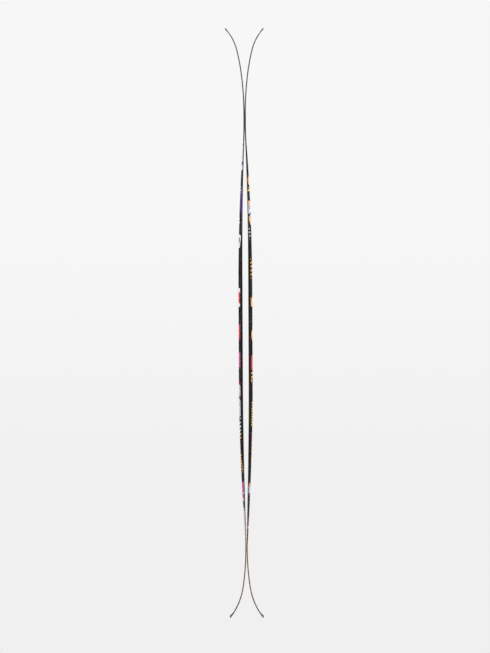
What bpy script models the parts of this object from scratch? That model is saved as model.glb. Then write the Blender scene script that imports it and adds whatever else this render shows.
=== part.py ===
# A matched pair of twin-tip freestyle skis, tips up and standing base to base.
# All lengths are in metres. Each ski is laid up in its own frame: X is the height above
# the plane where the two bases meet, Y runs across the ski and Z runs up towards the tip.
# A place along the ski is its length from the tip, measured straight down.
# An inset is measured inwards from the outline, square to it, and a height squarely off
# the base.

import math

import bmesh
import bpy

# Plan shape
SKI_LENGTH = 1.780
TIP_WIDTH = 0.118
WAIST_WIDTH = 0.088
TAIL_WIDTH = 0.112
TIP_ROUND = 0.140  # tip end to the widest line
TAIL_ROUND = 0.130  # tail end to the widest line
WAIST_AHEAD = 0.010  # the narrowest line, ahead of the boot centre
END_BLUNTNESS = 2.2  # 2 is an ellipse, more is squarer
SHOULDER_EASE = 0.2  # how much the sidecut eases off at the widest lines
SHOULDER_POWER = 12

# Side view of the base
TIP_ROCKER = 0.260  # length of the long low rise
TIP_ROCKER_RISE = 0.0355
TIP_KICK = 0.075  # length of the last upturn
TIP_KICK_RISE = 0.0165
TAIL_ROCKER = 0.210
TAIL_ROCKER_RISE = 0.0285
TAIL_KICK = 0.100
TAIL_KICK_RISE = 0.0203
KICK_POWER = 2.4
CAMBER_FROM_TIP = 0.300  # where the camber lifts off
CAMBER_FROM_TAIL = 0.212
CAMBER_HEIGHT = 0.0085
FRONT_FULLNESS = 2.6
REAR_FULLNESS = 1.95
CAMBER_EASE = 0.0010  # rounds the lift-off
BOOT_SETBACK = 0.020  # boot centre behind the middle of the ski
FLAT_ZONE = 0.280  # flat length for the binding, about the boot centre
PAIR_GAP = 0.0003  # between the two bases where they meet

# Layers, from the base up
BOND = 0.00005  # glue line between two layers
END_GAP = 0.0003  # between two pieces that butt end to end
BASE_THICKNESS = 0.0013
EDGE_WIDTH = 0.0020
ANCHOR_WIDTH = 0.0050  # flange of the steel edge that lies on the base
ANCHOR_THICKNESS = 0.0004
RUBBER_THICKNESS = 0.0002
LOWER_LAMINATE = 0.00035  # over the edges; it fills down to the base between them
SPACER_THICKNESS = 0.0004
UPPER_LAMINATE = 0.00035
TOPSHEET_THICKNESS = 0.0004
UNDERFOOT_THICKNESS = 0.0124
SIDE_INSET = 0.0003  # the steel stands this far proud of everything above it

# Core and sides
CORE_FROM_TIP = 0.345
CORE_FROM_TAIL = 0.225
FULL_AHEAD = 0.010  # full thickness reaches this far ahead of the flat zone
FULL_BEHIND = 0.050  # and this far behind it
TAPER_FULLNESS = 1.5
CORE_STRIPS = 5
STRIP_WIDTH = 0.0150
BEVEL_ANGLE = math.radians(45)
LIP_HEIGHT = 0.0003  # upright side left under the cap
SIDEWALL_HEIGHT = 0.0060  # top of the upright sidewall, off the base
SIDEWALL_AHEAD = 0.310  # reach of the upright sidewall ahead of the boot centre
SIDEWALL_BEHIND = 0.440
SIDEWALL_RAMP = 0.060  # its height grows from nothing over this length
SIDEWALL_LAND = 0.0020  # flat top of the sidewall inboard of its bevel
MAT_THICKNESS = 0.0006
MAT_INSET = 0.010  # mat ends inside the flat zone
RECESS_STEP = 0.0010
PROTECTOR_LENGTH = 0.014  # the plate on the tail's end, measured from the tail
PROTECTOR_THICKNESS = 0.0010
PROTECTOR_INSET = 0.0020

# Fineness of the mesh
END_STEPS = 9  # cross-sections along a rounded end
BODY_STEP = 0.060  # about the distance between cross-sections elsewhere
SLOPE_STEP = 1e-5
FLAT_SLOPE = 1e-9
CUT_REPEATS = 4
MERGE_DISTANCE = 1e-7
SHARP_ANGLE = math.radians(20)

# Heights that follow from the layers
ANCHOR_BOTTOM = BASE_THICKNESS + BOND
EDGE_TOP = ANCHOR_BOTTOM + ANCHOR_THICKNESS
RUBBER_BOTTOM = EDGE_TOP + BOND
RUBBER_TOP = RUBBER_BOTTOM + RUBBER_THICKNESS
LAMINATE_BOTTOM = RUBBER_TOP + BOND
LAMINATE_TOP = LAMINATE_BOTTOM + LOWER_LAMINATE
BODY_BOTTOM = LAMINATE_TOP + BOND
TOP_LAMINATE_DEPTH = TOPSHEET_THICKNESS + BOND
TOP_LAMINATE_UNDER = TOP_LAMINATE_DEPTH + UPPER_LAMINATE
BODY_DEPTH = TOP_LAMINATE_UNDER + BOND
BLADE_THICKNESS = BODY_BOTTOM + SPACER_THICKNESS + BODY_DEPTH
ANCHOR_END = EDGE_WIDTH + ANCHOR_WIDTH

# Places along the ski, from the tip
BOOT_CENTRE = SKI_LENGTH / 2 + BOOT_SETBACK
WAIST_FROM_TIP = BOOT_CENTRE - WAIST_AHEAD
ZONE_FRONT = BOOT_CENTRE - FLAT_ZONE / 2
ZONE_REAR = BOOT_CENTRE + FLAT_ZONE / 2
CAMBER_FRONT = CAMBER_FROM_TIP
CAMBER_REAR = SKI_LENGTH - CAMBER_FROM_TAIL
CORE_FRONT = CORE_FROM_TIP
CORE_REAR = SKI_LENGTH - CORE_FROM_TAIL
FULL_FRONT = ZONE_FRONT - FULL_AHEAD
FULL_REAR = ZONE_REAR + FULL_BEHIND
SIDEWALL_FRONT = BOOT_CENTRE - SIDEWALL_AHEAD
SIDEWALL_REAR = BOOT_CENTRE + SIDEWALL_BEHIND
MAT_FRONT = ZONE_FRONT + MAT_INSET
MAT_REAR = ZONE_REAR - MAT_INSET
PROTECTOR_FRONT = SKI_LENGTH - PROTECTOR_LENGTH

# From the left ski's topsheet, under the boot, to the plane where the two bases meet
MATING_PLANE = PAIR_GAP / 2 + CAMBER_HEIGHT + UNDERFOOT_THICKNESS


def rise(length, reach, height, power):
    """Height of an upturned end that starts at reach and grows to height at the end."""
    if length >= reach:
        return 0.0
    return height * (1 - length / reach) ** power


def smooth_step(value):
    value = min(max(value, 0.0), 1.0)
    return value * value * (3 - 2 * value)


def camber(length):
    """Arch of the base between its two contact lines, flat under the binding."""
    if length <= CAMBER_FRONT or length >= CAMBER_REAR:
        return 0.0
    if ZONE_FRONT <= length <= ZONE_REAR:
        return CAMBER_HEIGHT
    if length < ZONE_FRONT:
        along = (ZONE_FRONT - length) / (ZONE_FRONT - CAMBER_FRONT)
        power = FRONT_FULLNESS
    else:
        along = (length - ZONE_REAR) / (CAMBER_REAR - ZONE_REAR)
        power = REAR_FULLNESS
    sharp = (CAMBER_HEIGHT + CAMBER_EASE) ** 2 - CAMBER_EASE**2
    arch = math.sqrt(sharp) * (1 - along**power)
    return math.sqrt(arch**2 + CAMBER_EASE**2) - CAMBER_EASE


def base_height(length):
    from_tail = SKI_LENGTH - length
    tip = rise(length, TIP_ROCKER, TIP_ROCKER_RISE, 2)
    tip += rise(length, TIP_KICK, TIP_KICK_RISE, KICK_POWER)
    tail = rise(from_tail, TAIL_ROCKER, TAIL_ROCKER_RISE, 2)
    tail += rise(from_tail, TAIL_KICK, TAIL_KICK_RISE, KICK_POWER)
    return PAIR_GAP / 2 + tip + tail + camber(length)


def round_end(length, reach, width):
    """Half width and its slope on a rounded end."""
    left = 1 - length / reach
    share = 1 - left**END_BLUNTNESS
    half = width / 2 * math.sqrt(share)
    if half == 0:
        return 0.0, math.inf
    slope = (width / 2) ** 2 / (2 * half) * END_BLUNTNESS / reach * left ** (END_BLUNTNESS - 1)
    return half, slope


def half_width(length):
    """Half width of the outline and its slope along the ski."""
    from_tail = SKI_LENGTH - length
    if length < TIP_ROUND:
        return round_end(length, TIP_ROUND, TIP_WIDTH)
    if from_tail < TAIL_ROUND:
        half, slope = round_end(from_tail, TAIL_ROUND, TAIL_WIDTH)
        return half, -slope
    if length < WAIST_FROM_TIP:
        reach = TIP_ROUND - WAIST_FROM_TIP
        flare = (TIP_WIDTH - WAIST_WIDTH) / 2
    else:
        reach = SKI_LENGTH - TAIL_ROUND - WAIST_FROM_TIP
        flare = (TAIL_WIDTH - WAIST_WIDTH) / 2
    along = (length - WAIST_FROM_TIP) / reach
    eased = (1 + SHOULDER_EASE) * along**2 - SHOULDER_EASE * along**SHOULDER_POWER
    slope = 2 * (1 + SHOULDER_EASE) * along
    slope -= SHOULDER_POWER * SHOULDER_EASE * along ** (SHOULDER_POWER - 1)
    return WAIST_WIDTH / 2 + flare * eased, flare * slope / reach


def thickness(length):
    if FULL_FRONT <= length <= FULL_REAR:
        return UNDERFOOT_THICKNESS
    if length < FULL_FRONT:
        along = (length - CORE_FRONT) / (FULL_FRONT - CORE_FRONT)
    else:
        along = (CORE_REAR - length) / (CORE_REAR - FULL_REAR)
    along = min(max(along, 0.0), 1.0)
    share = 1 - (1 - along) ** TAPER_FULLNESS
    return BLADE_THICKNESS + (UNDERFOOT_THICKNESS - BLADE_THICKNESS) * share


def side_height(length):
    """Height where the upright side ends and the bevelled cap begins."""
    low = BODY_BOTTOM + LIP_HEIGHT
    front = smooth_step((length - SIDEWALL_FRONT) / SIDEWALL_RAMP)
    rear = smooth_step((SIDEWALL_REAR - length) / SIDEWALL_RAMP)
    return low + (SIDEWALL_HEIGHT - low) * front * rear


def point(length, across, height):
    """A point that stands height off the base, square to it."""
    change = base_height(length + SLOPE_STEP) - base_height(length - SLOPE_STEP)
    slope = change / (2 * SLOPE_STEP)
    if abs(slope) < FLAT_SLOPE:
        slope = 0.0
    scale = 1 / math.hypot(1, slope)
    x = base_height(length) + height * scale
    z = BOOT_CENTRE - length + height * slope * scale
    return x, across, z


def cut_station(length, inset):
    """The station whose point at this inset lies at the given length."""
    station = length
    for repeat in range(CUT_REPEATS):
        slope = half_width(station)[1]
        station = length - inset * slope / math.hypot(slope, 1)
    return station


def outline_point(length, inset, height, cut=False):
    """A point at an inset from the outline, on the +Y side. A cut end is square across."""
    if cut:
        length = cut_station(length, inset)
    half, slope = half_width(length)
    if math.isinf(slope):
        along, across = math.copysign(1, slope), 0.0
    else:
        along, across = slope / math.hypot(slope, 1), -1 / math.hypot(slope, 1)
    return point(length + inset * along, half + inset * across, height)


def stations(start, end):
    """Lengths where the layers between start and end have a cross-section."""
    turns = [math.pi / 2 * step / END_STEPS for step in range(END_STEPS)]
    lengths = [TIP_ROUND * (1 - math.cos(turn)) for turn in turns]
    lengths += [SKI_LENGTH - TAIL_ROUND * (1 - math.cos(turn)) for turn in turns]
    lengths.append(PROTECTOR_FRONT)
    marks = [
        TIP_ROUND,
        TIP_ROCKER,
        CAMBER_FRONT,
        CORE_FRONT,
        SIDEWALL_FRONT,
        SIDEWALL_FRONT + SIDEWALL_RAMP,
        ZONE_FRONT,
        ZONE_REAR,
        SIDEWALL_REAR - SIDEWALL_RAMP,
        SIDEWALL_REAR,
        CORE_REAR,
        SKI_LENGTH - TAIL_ROCKER,
        SKI_LENGTH - TAIL_ROUND,
    ]
    marks.sort()
    for low, high in zip(marks, marks[1:]):
        count = max(1, round((high - low) / BODY_STEP))
        lengths += [low + (high - low) * step / count for step in range(count)]
    lengths.append(marks[-1])
    inside = sorted(length for length in set(lengths) if start < length < end)
    return [start] + inside + [end]


def shell_top(length, depth):
    """Inset and height of the cap's top corner, at a depth under its outer face."""
    full = thickness(length)
    run = (full - side_height(length)) / math.tan(BEVEL_ANGLE)
    return SIDE_INSET + run + depth * math.tan(BEVEL_ANGLE / 2), full - depth


def shell_rim(length, depth):
    """Inset and height of the cap's lower rim, at a depth under its outer face."""
    return SIDE_INSET + depth / math.sin(BEVEL_ANGLE), side_height(length)


def sidewall_width():
    """Inset of the sidewall's inner face, clear of the bevel all along the core."""
    corners = [shell_top(length, BODY_DEPTH)[0] for length in stations(CORE_FRONT, CORE_REAR)]
    return max(corners) + SIDEWALL_LAND


def base_section(length):
    inset = EDGE_WIDTH + BOND
    return [(inset, 0.0), (inset, BASE_THICKNESS), (ANCHOR_END + BOND, BASE_THICKNESS)]


def lower_laminate_section(length):
    step = ANCHOR_END + BOND
    return [
        (step, ANCHOR_BOTTOM),
        (step, LAMINATE_BOTTOM),
        (SIDE_INSET, LAMINATE_BOTTOM),
        (SIDE_INSET, LAMINATE_TOP),
    ]


def shell_section(upper, lower):
    """Cross-section of a sheet that wraps over the bevel, between two depths."""

    def section(length):
        return [
            shell_top(length, lower),
            shell_rim(length, lower),
            shell_rim(length, upper),
            shell_top(length, upper),
        ]

    return section


def body_side(length):
    """Outer side of what the cap covers, from the lower laminate to the bevel's top."""
    ledge = side_height(length) - BOND
    return [
        (SIDE_INSET, BODY_BOTTOM),
        (SIDE_INSET, ledge),
        (shell_rim(length, BODY_DEPTH)[0], ledge),
        shell_top(length, BODY_DEPTH),
    ]


def mat_section(length):
    inset = sidewall_width() + BOND
    top = thickness(length) - BODY_DEPTH
    return [(inset, top - MAT_THICKNESS), (inset, top)]


def protector_section(length):
    bottom = thickness(length) + BOND
    return [(PROTECTOR_INSET, bottom), (PROTECTOR_INSET, bottom + PROTECTOR_THICKNESS)]


def edge_section(length):
    return [
        (0.0, 0.0),
        (EDGE_WIDTH, 0.0),
        (EDGE_WIDTH, ANCHOR_BOTTOM),
        (ANCHOR_END, ANCHOR_BOTTOM),
        (ANCHOR_END, EDGE_TOP),
        (0.0, EDGE_TOP),
    ]


def rubber_section(length):
    return [
        (SIDE_INSET, RUBBER_BOTTOM),
        (ANCHOR_END, RUBBER_BOTTOM),
        (ANCHOR_END, RUBBER_TOP),
        (SIDE_INSET, RUBBER_TOP),
    ]


def sidewall_section(length):
    inner = sidewall_width()
    top = thickness(length) - BODY_DEPTH
    return body_side(length) + [(inner, top), (inner, BODY_BOTTOM)]


def material(name, look):
    colour, roughness, metallic = look
    made = bpy.data.materials.new(name)
    made.use_nodes = True
    shader = made.node_tree.nodes["Principled BSDF"]
    shader.inputs["Base Color"].default_value = (*colour, 1.0)
    shader.inputs["Roughness"].default_value = roughness
    shader.inputs["Metallic"].default_value = metallic
    return made


def loft(name, rings, look, parent):
    """A closed solid through rings of (point, key), the nearest to the tip first.

    Each four-sided face is split from its lower key on the first ring, so that two layers
    that meet are split alike and keep their glue line.
    """
    bm = bmesh.new()
    loops = [[bm.verts.new(place) for place, key in ring] for ring in rings]
    keys = [key for place, key in rings[0]]
    count = len(keys)
    for first, second in zip(loops, loops[1:]):
        for here in range(count):
            there = (here + 1) % count
            if keys[here] <= keys[there]:
                bm.faces.new((first[here], first[there], second[there]))
                bm.faces.new((first[here], second[there], second[here]))
            else:
                bm.faces.new((first[here], first[there], second[here]))
                bm.faces.new((first[there], second[there], second[here]))
    for loop in (loops[0], loops[-1]):
        if len({tuple(vert.co) for vert in loop}) == count:
            bm.faces.new(loop)
    bmesh.ops.remove_doubles(bm, verts=bm.verts, dist=MERGE_DISTANCE)
    bmesh.ops.recalc_face_normals(bm, faces=bm.faces)
    mesh = bpy.data.meshes.new(name)
    bm.to_mesh(mesh)
    bm.free()
    mesh.materials.append(material(name, look))
    mesh.shade_smooth()
    mesh.set_sharp_from_angle(angle=SHARP_ANGLE)
    made = bpy.data.objects.new(name, mesh)
    made.parent = parent
    bpy.context.scene.collection.objects.link(made)


def is_cut(length, start, end):
    """True where a piece ends part of the way along the ski."""
    return length in (start, end) and 0 < length < SKI_LENGTH


def plate(name, section, start, end, look, parent):
    """A layer that spans the ski from one side to the other."""
    rings = []
    for length in stations(start, end):
        cut = is_cut(length, start, end)
        right = []
        for inset, height in section(length):
            right.append((outline_point(length, inset, height, cut), (height, inset)))
        left = [((x, -y, z), key) for (x, y, z), key in reversed(right)]
        rings.append(right + left)
    loft(name, rings, look, parent)


def side_strip(name, section, start, end, side, look, parent):
    """A piece that runs along one side, +Y or -Y, and meets its twin at the ends."""
    rings = []
    for length in stations(start, end):
        cut = is_cut(length, start, end)
        ring = []
        for inset, height in section(length):
            x, y, z = outline_point(length, inset, height, cut)
            ring.append(((x, side * max(y, END_GAP / 2), z), (height, inset)))
        rings.append(ring)
    loft(name, rings, look, parent)


def core_lengths():
    """Stations of the core with its depth below them: it is recessed under the mat."""
    low = MAT_FRONT - END_GAP
    high = MAT_REAR + END_GAP
    recess = MAT_THICKNESS + BOND
    steps = [(low - RECESS_STEP, 0.0), (low, recess), (high, recess), (high + RECESS_STEP, 0.0)]
    for length in stations(CORE_FRONT, CORE_REAR):
        if low < length < high:
            steps.append((length, recess))
        elif not low - RECESS_STEP <= length <= high + RECESS_STEP:
            steps.append((length, 0.0))
    return sorted(steps)


def core_strip(name, number, look, parent):
    """One lengthwise strip of the wood core. The outermost ones follow the sidewalls."""
    low = (number - CORE_STRIPS / 2) * STRIP_WIDTH + BOND / 2
    high = low + STRIP_WIDTH - BOND
    inner_face = sidewall_width() + BOND
    rings = []
    for length, recess in core_lengths():
        cut = is_cut(length, CORE_FRONT, CORE_REAR)
        top = thickness(length) - BODY_DEPTH - recess
        ring = []
        for across, height in ((low, BODY_BOTTOM), (high, BODY_BOTTOM), (high, top), (low, top)):
            place = point(length, across, height)
            if number == CORE_STRIPS - 1 and across == high:
                place = outline_point(length, inner_face, height, cut)
            elif number == 0 and across == low:
                x, y, z = outline_point(length, inner_face, height, cut)
                place = (x, -y, z)
            ring.append((place, (height, across)))
        rings.append(ring)
    loft(name, rings, look, parent)


# Colour, roughness and metallic value of each piece
BLACK_BASE = ((0.020, 0.020, 0.023), 0.45, 0.0)
STEEL = ((0.330, 0.310, 0.290), 0.35, 1.0)
RUBBER = ((0.015, 0.015, 0.015), 0.85, 0.0)
GLASS_FIBRE = ((0.380, 0.360, 0.260), 0.40, 0.0)
SIDEWALL_BLACK = ((0.010, 0.010, 0.012), 0.40, 0.0)
SPACER_PLASTIC = ((0.160, 0.160, 0.165), 0.60, 0.0)
POPLAR = ((0.640, 0.500, 0.320), 0.65, 0.0)
BEECH = ((0.480, 0.290, 0.160), 0.60, 0.0)
MAT_FIBRE = ((0.300, 0.300, 0.280), 0.60, 0.0)
PROTECTOR_BLACK = ((0.012, 0.012, 0.013), 0.50, 0.0)
LEFT_TOP = ((0.045, 0.020, 0.090), 0.22, 0.0)
RIGHT_TOP = ((0.030, 0.030, 0.055), 0.22, 0.0)


def build_ski(ski, parent, inside, top_look):
    """All the pieces of one ski. inside is the side, +1 or -1 along Y, next to the other leg."""
    plate(f"{ski}_running_base", base_section, 0.0, SKI_LENGTH, BLACK_BASE, parent)
    for name, side in (("inside", inside), ("outside", -inside)):
        side_strip(f"{ski}_{name}_edge", edge_section, 0.0, SKI_LENGTH, side, STEEL, parent)
        side_strip(
            f"{ski}_{name}_edge_rubber", rubber_section, 0.0, SKI_LENGTH, side, RUBBER, parent
        )
        side_strip(
            f"{ski}_{name}_sidewall",
            sidewall_section,
            CORE_FRONT,
            CORE_REAR,
            side,
            SIDEWALL_BLACK,
            parent,
        )
    plate(
        f"{ski}_lower_laminate", lower_laminate_section, 0.0, SKI_LENGTH, GLASS_FIBRE, parent
    )
    for number in range(CORE_STRIPS):
        wood = BEECH if number % 2 else POPLAR
        core_strip(f"{ski}_core_strip_{number + 1}", number, wood, parent)
    spacer_end = CORE_FRONT - END_GAP
    plate(f"{ski}_tip_spacer", body_side, 0.0, spacer_end, SPACER_PLASTIC, parent)
    spacer_start = CORE_REAR + END_GAP
    plate(f"{ski}_tail_spacer", body_side, spacer_start, SKI_LENGTH, SPACER_PLASTIC, parent)
    plate(f"{ski}_binding_mat", mat_section, MAT_FRONT, MAT_REAR, MAT_FIBRE, parent)
    upper = shell_section(TOP_LAMINATE_DEPTH, TOP_LAMINATE_UNDER)
    plate(f"{ski}_upper_laminate", upper, 0.0, SKI_LENGTH, GLASS_FIBRE, parent)
    skin = shell_section(0.0, TOPSHEET_THICKNESS)
    plate(f"{ski}_topsheet", skin, 0.0, SKI_LENGTH, top_look, parent)
    plate(
        f"{ski}_tail_protector",
        protector_section,
        PROTECTOR_FRONT,
        SKI_LENGTH,
        PROTECTOR_BLACK,
        parent,
    )


def ski_frame(name, turn):
    """An empty on the line along which the skis part, at the plane where their bases meet."""
    empty = bpy.data.objects.new(name, None)
    empty.location = (MATING_PLANE, 0.0, 0.0)
    empty.rotation_euler = (0.0, 0.0, turn)
    bpy.context.scene.collection.objects.link(empty)
    return empty


for leftover in list(bpy.data.objects):
    bpy.data.objects.remove(leftover, do_unlink=True)

# The world's origin is the middle of the left ski's binding zone, on its topsheet.
build_ski("left_ski", ski_frame("left_ski_frame", math.pi), 1, LEFT_TOP)
build_ski("right_ski", ski_frame("right_ski_frame", 0.0), -1, RIGHT_TOP)
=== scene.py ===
import math

import bmesh
import bpy
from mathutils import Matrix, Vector


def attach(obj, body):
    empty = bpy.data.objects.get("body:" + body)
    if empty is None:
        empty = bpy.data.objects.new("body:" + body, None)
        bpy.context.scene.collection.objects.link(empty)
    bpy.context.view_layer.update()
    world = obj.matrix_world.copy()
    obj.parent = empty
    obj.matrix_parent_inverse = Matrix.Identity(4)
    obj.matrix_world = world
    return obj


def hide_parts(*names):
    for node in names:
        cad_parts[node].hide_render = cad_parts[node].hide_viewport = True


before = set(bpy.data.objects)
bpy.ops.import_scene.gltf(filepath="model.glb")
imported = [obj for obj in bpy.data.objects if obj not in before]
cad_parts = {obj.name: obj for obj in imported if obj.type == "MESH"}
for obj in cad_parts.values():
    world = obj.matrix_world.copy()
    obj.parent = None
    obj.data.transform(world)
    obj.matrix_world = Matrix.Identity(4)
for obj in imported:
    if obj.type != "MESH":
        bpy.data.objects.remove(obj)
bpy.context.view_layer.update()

# A matched pair of twin-tip skis, tips up, standing base to base.
# Each ski is worked out in its own frame: height off the plane where the bases meet, across,
# and a place along the ski counted from the tip. An inset is measured in from the outline.

ski = {
    "length": 1.780,
    "tipWidth": 0.118,
    "waistWidth": 0.088,
    "tailWidth": 0.112,
    "tipRound": 0.140,  # tip end to the widest line
    "tailRound": 0.130,
    "waistFromTip": 0.900,
    "bootCentre": 0.910,
    "endBluntness": 2.2,
    "shoulderEase": 0.2,
    "shoulderPower": 12,
    "tipRocker": (0.260, 0.0355),  # reach and rise of the long low bend
    "tipKick": (0.075, 0.0165),  # and of the last upturn
    "tipFlick": (0.130, 0.0042),  # the tip turns out a little more than the plain solids do
    "tailRocker": (0.210, 0.0285),
    "tailKick": (0.100, 0.0203),
    "kickPower": 2.4,
    "flickPower": 1.5,
    "camberHeight": 0.0085,
    "camberEase": 0.0010,
    "camberFront": 0.300,
    "camberRear": 1.568,
    "zoneFront": 0.770,
    "zoneRear": 1.050,
    "frontFullness": 2.6,
    "rearFullness": 1.95,
    "pairGap": 0.0003,
    "matingPlane": 0.02105,
}

layup = {
    "bond": 0.00005,
    "butt": 0.0003,
    "base": 0.0013,
    "edgeWidth": 0.0020,
    "anchorWidth": 0.0050,
    "anchor": 0.0004,
    "rubber": 0.0002,
    "lowerLaminate": 0.00035,
    "upperLaminate": 0.00035,
    "topsheet": 0.0004,
    "spacer": 0.0004,
    "underfoot": 0.0124,
    "sideInset": 0.0003,
    "coreFront": 0.345,
    "coreRear": 1.555,
    "fullFront": 0.760,
    "fullRear": 1.100,
    "taperFullness": 1.5,
    "lip": 0.0003,
    "soleCrown": (0.014, 0.00012),  # the sole stands proud of the steel by this, from this far in
    "soleBevel": 0.00004,
    "soleFlat": 0.0012,
    "glueFillet": (0.0015, 0.0018),  # from here in the lower sheet fills the glue line above it
    "glueLeft": 0.00001,
    "noseSwell": (0.018, 0.0007),  # the last of the tip is a little thicker
}

fineness = {
    "endSteps": 44,  # cross-sections along a rounded end
    "bodyStep": 0.009,
    "arcSteps": 1780,
    "sharpAngle": 32,
    "filletShare": 0.45,  # a rounded corner takes at most this share of a run
    "weld": 2e-7,
    "sliver": 1e-7,
}

# Heights off the base that follow from the layers
anchorBottom = layup["base"] + layup["bond"]
edgeTop = anchorBottom + layup["anchor"]
rubberBottom = edgeTop + layup["bond"]
rubberTop = rubberBottom + layup["rubber"]
laminateBottom = rubberTop + layup["bond"]
laminateTop = laminateBottom + layup["lowerLaminate"]
bodyBottom = laminateTop + layup["bond"]
overDepth = layup["topsheet"] + layup["bond"]
underDepth = overDepth + layup["upperLaminate"]
bodyDepth = underDepth + layup["bond"]
bladeThickness = bodyBottom + layup["spacer"] + bodyDepth
anchorEnd = layup["edgeWidth"] + layup["anchorWidth"]
bevel = math.radians(45)


def rise(length, bend, power):
    reach, height = bend
    return height * (1 - length / reach) ** power if length < reach else 0.0


def smoothStep(value):
    value = min(max(value, 0.0), 1.0)
    return value * value * (3 - 2 * value)


def camber(length):
    if not ski["camberFront"] < length < ski["camberRear"]:
        return 0.0
    if ski["zoneFront"] <= length <= ski["zoneRear"]:
        return ski["camberHeight"]
    if length < ski["zoneFront"]:
        along = (ski["zoneFront"] - length) / (ski["zoneFront"] - ski["camberFront"])
        power = ski["frontFullness"]
    else:
        along = (length - ski["zoneRear"]) / (ski["camberRear"] - ski["zoneRear"])
        power = ski["rearFullness"]
    ease = ski["camberEase"]
    arch = math.sqrt((ski["camberHeight"] + ease) ** 2 - ease**2) * (1 - along**power)
    return math.sqrt(arch**2 + ease**2) - ease


def baseHeight(length):
    fromTail = ski["length"] - length
    ends = rise(length, ski["tipRocker"], 2) + rise(length, ski["tipKick"], ski["kickPower"])
    ends += rise(length, ski["tipFlick"], ski["flickPower"])
    ends += rise(fromTail, ski["tailRocker"], 2)
    ends += rise(fromTail, ski["tailKick"], ski["kickPower"])
    return ski["pairGap"] / 2 + ends + camber(length)


def roundEnd(length, reach, width):
    left = 1 - length / reach
    half = width / 2 * math.sqrt(max(1 - left ** ski["endBluntness"], 0.0))
    if half < 1e-9:
        return 0.0, math.inf
    pull = ski["endBluntness"] / reach * left ** (ski["endBluntness"] - 1)
    return half, (width / 2) ** 2 / (2 * half) * pull


def halfWidth(length):
    # half width of the outline, and its slope along the ski
    fromTail = ski["length"] - length
    if length < ski["tipRound"]:
        return roundEnd(length, ski["tipRound"], ski["tipWidth"])
    if fromTail < ski["tailRound"]:
        half, slope = roundEnd(fromTail, ski["tailRound"], ski["tailWidth"])
        return half, -slope
    if length < ski["waistFromTip"]:
        reach = ski["tipRound"] - ski["waistFromTip"]
        flare = (ski["tipWidth"] - ski["waistWidth"]) / 2
    else:
        reach = ski["length"] - ski["tailRound"] - ski["waistFromTip"]
        flare = (ski["tailWidth"] - ski["waistWidth"]) / 2
    ease, power = ski["shoulderEase"], ski["shoulderPower"]
    along = (length - ski["waistFromTip"]) / reach
    eased = (1 + ease) * along**2 - ease * along**power
    slope = 2 * (1 + ease) * along - power * ease * along ** (power - 1)
    return ski["waistWidth"] / 2 + flare * eased, flare * slope / reach


def thickness(length):
    if length < layup["fullFront"]:
        along = (length - layup["coreFront"]) / (layup["fullFront"] - layup["coreFront"])
    else:
        along = (layup["coreRear"] - length) / (layup["coreRear"] - layup["fullRear"])
    along = min(max(along, 0.0), 1.0)
    share = 1 - (1 - along) ** layup["taperFullness"]
    nose = rise(length, layup["noseSwell"], 1)
    return bladeThickness + nose + (layup["underfoot"] - bladeThickness) * share


sidewallBand = {
    "front": 0.600,
    "rear": 1.350,
    "ramp": 0.060,
    "height": 0.0060,
    "land": 0.0020,
    "footRim": 0.6,  # the foot of the side wears less than its upper rim
}


def sideHeight(length):
    # where the upright side ends and the bevelled cap begins
    low = bodyBottom + layup["lip"]
    front = smoothStep((length - sidewallBand["front"]) / sidewallBand["ramp"])
    rear = smoothStep((sidewallBand["rear"] - length) / sidewallBand["ramp"])
    return low + (sidewallBand["height"] - low) * front * rear


def surfacePoint(length, across, height):
    step = 1e-5
    slope = (baseHeight(length + step) - baseHeight(length - step)) / (2 * step)
    scale = 1 / math.hypot(1, slope)
    x = baseHeight(length) + height * scale
    return x, across, ski["bootCentre"] - length + height * slope * scale


def inward(length):
    # unit step in from the outline, as (along, across) on the +Y side
    slope = halfWidth(length)[1]
    if math.isinf(slope):
        return math.copysign(1, slope), 0.0
    return slope / math.hypot(slope, 1), -1 / math.hypot(slope, 1)


def outlinePoint(length, inset, height, cut=False):
    if cut:  # a cut end is square across, so the station is moved until the point lies on it
        station = length
        for _ in range(4):
            station = length - inset * inward(station)[0]
        length = station
    along, across = inward(length)
    return surfacePoint(length + inset * along, halfWidth(length)[0] + inset * across, height)


def stations(start, end):
    steps = fineness["endSteps"]
    turns = [math.pi / 2 * step / steps for step in range(steps)]
    lengths = [ski["tipRound"] * (1 - math.cos(turn)) for turn in turns]
    lengths += [ski["length"] - ski["tailRound"] * (1 - math.cos(turn)) for turn in turns]
    marks = [ski["tipRound"], ski["tipRocker"][0], ski["camberFront"], layup["coreFront"],
             sidewallBand["front"], sidewallBand["front"] + sidewallBand["ramp"],
             ski["zoneFront"], ski["zoneRear"], sidewallBand["rear"] - sidewallBand["ramp"],
             sidewallBand["rear"], layup["coreRear"], ski["length"] - ski["tailRocker"][0],
             ski["length"] - ski["tailRound"]]
    for low, high in zip(sorted(marks), sorted(marks)[1:]):
        count = max(1, round((high - low) / fineness["bodyStep"]))
        lengths += [low + (high - low) * step / count for step in range(count)]
    lengths.append(max(marks))
    return [start] + sorted(length for length in set(lengths) if start < length < end) + [end]


def isCut(length, start, end):
    return length in (start, end) and 0 < length < ski["length"]


# Distance along the curved ski, for patterns that follow it
arcTable = [0.0]
arcStep = ski["length"] / fineness["arcSteps"]
for number in range(fineness["arcSteps"]):
    first = baseHeight(number * arcStep)
    second = baseHeight((number + 1) * arcStep)
    arcTable.append(arcTable[-1] + math.hypot(arcStep, second - first))


def arcAt(length):
    place = min(max(length / arcStep, 0.0), fineness["arcSteps"] - 0.001)
    low = int(place)
    return arcTable[low] + (arcTable[low + 1] - arcTable[low]) * (place - low)


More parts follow.
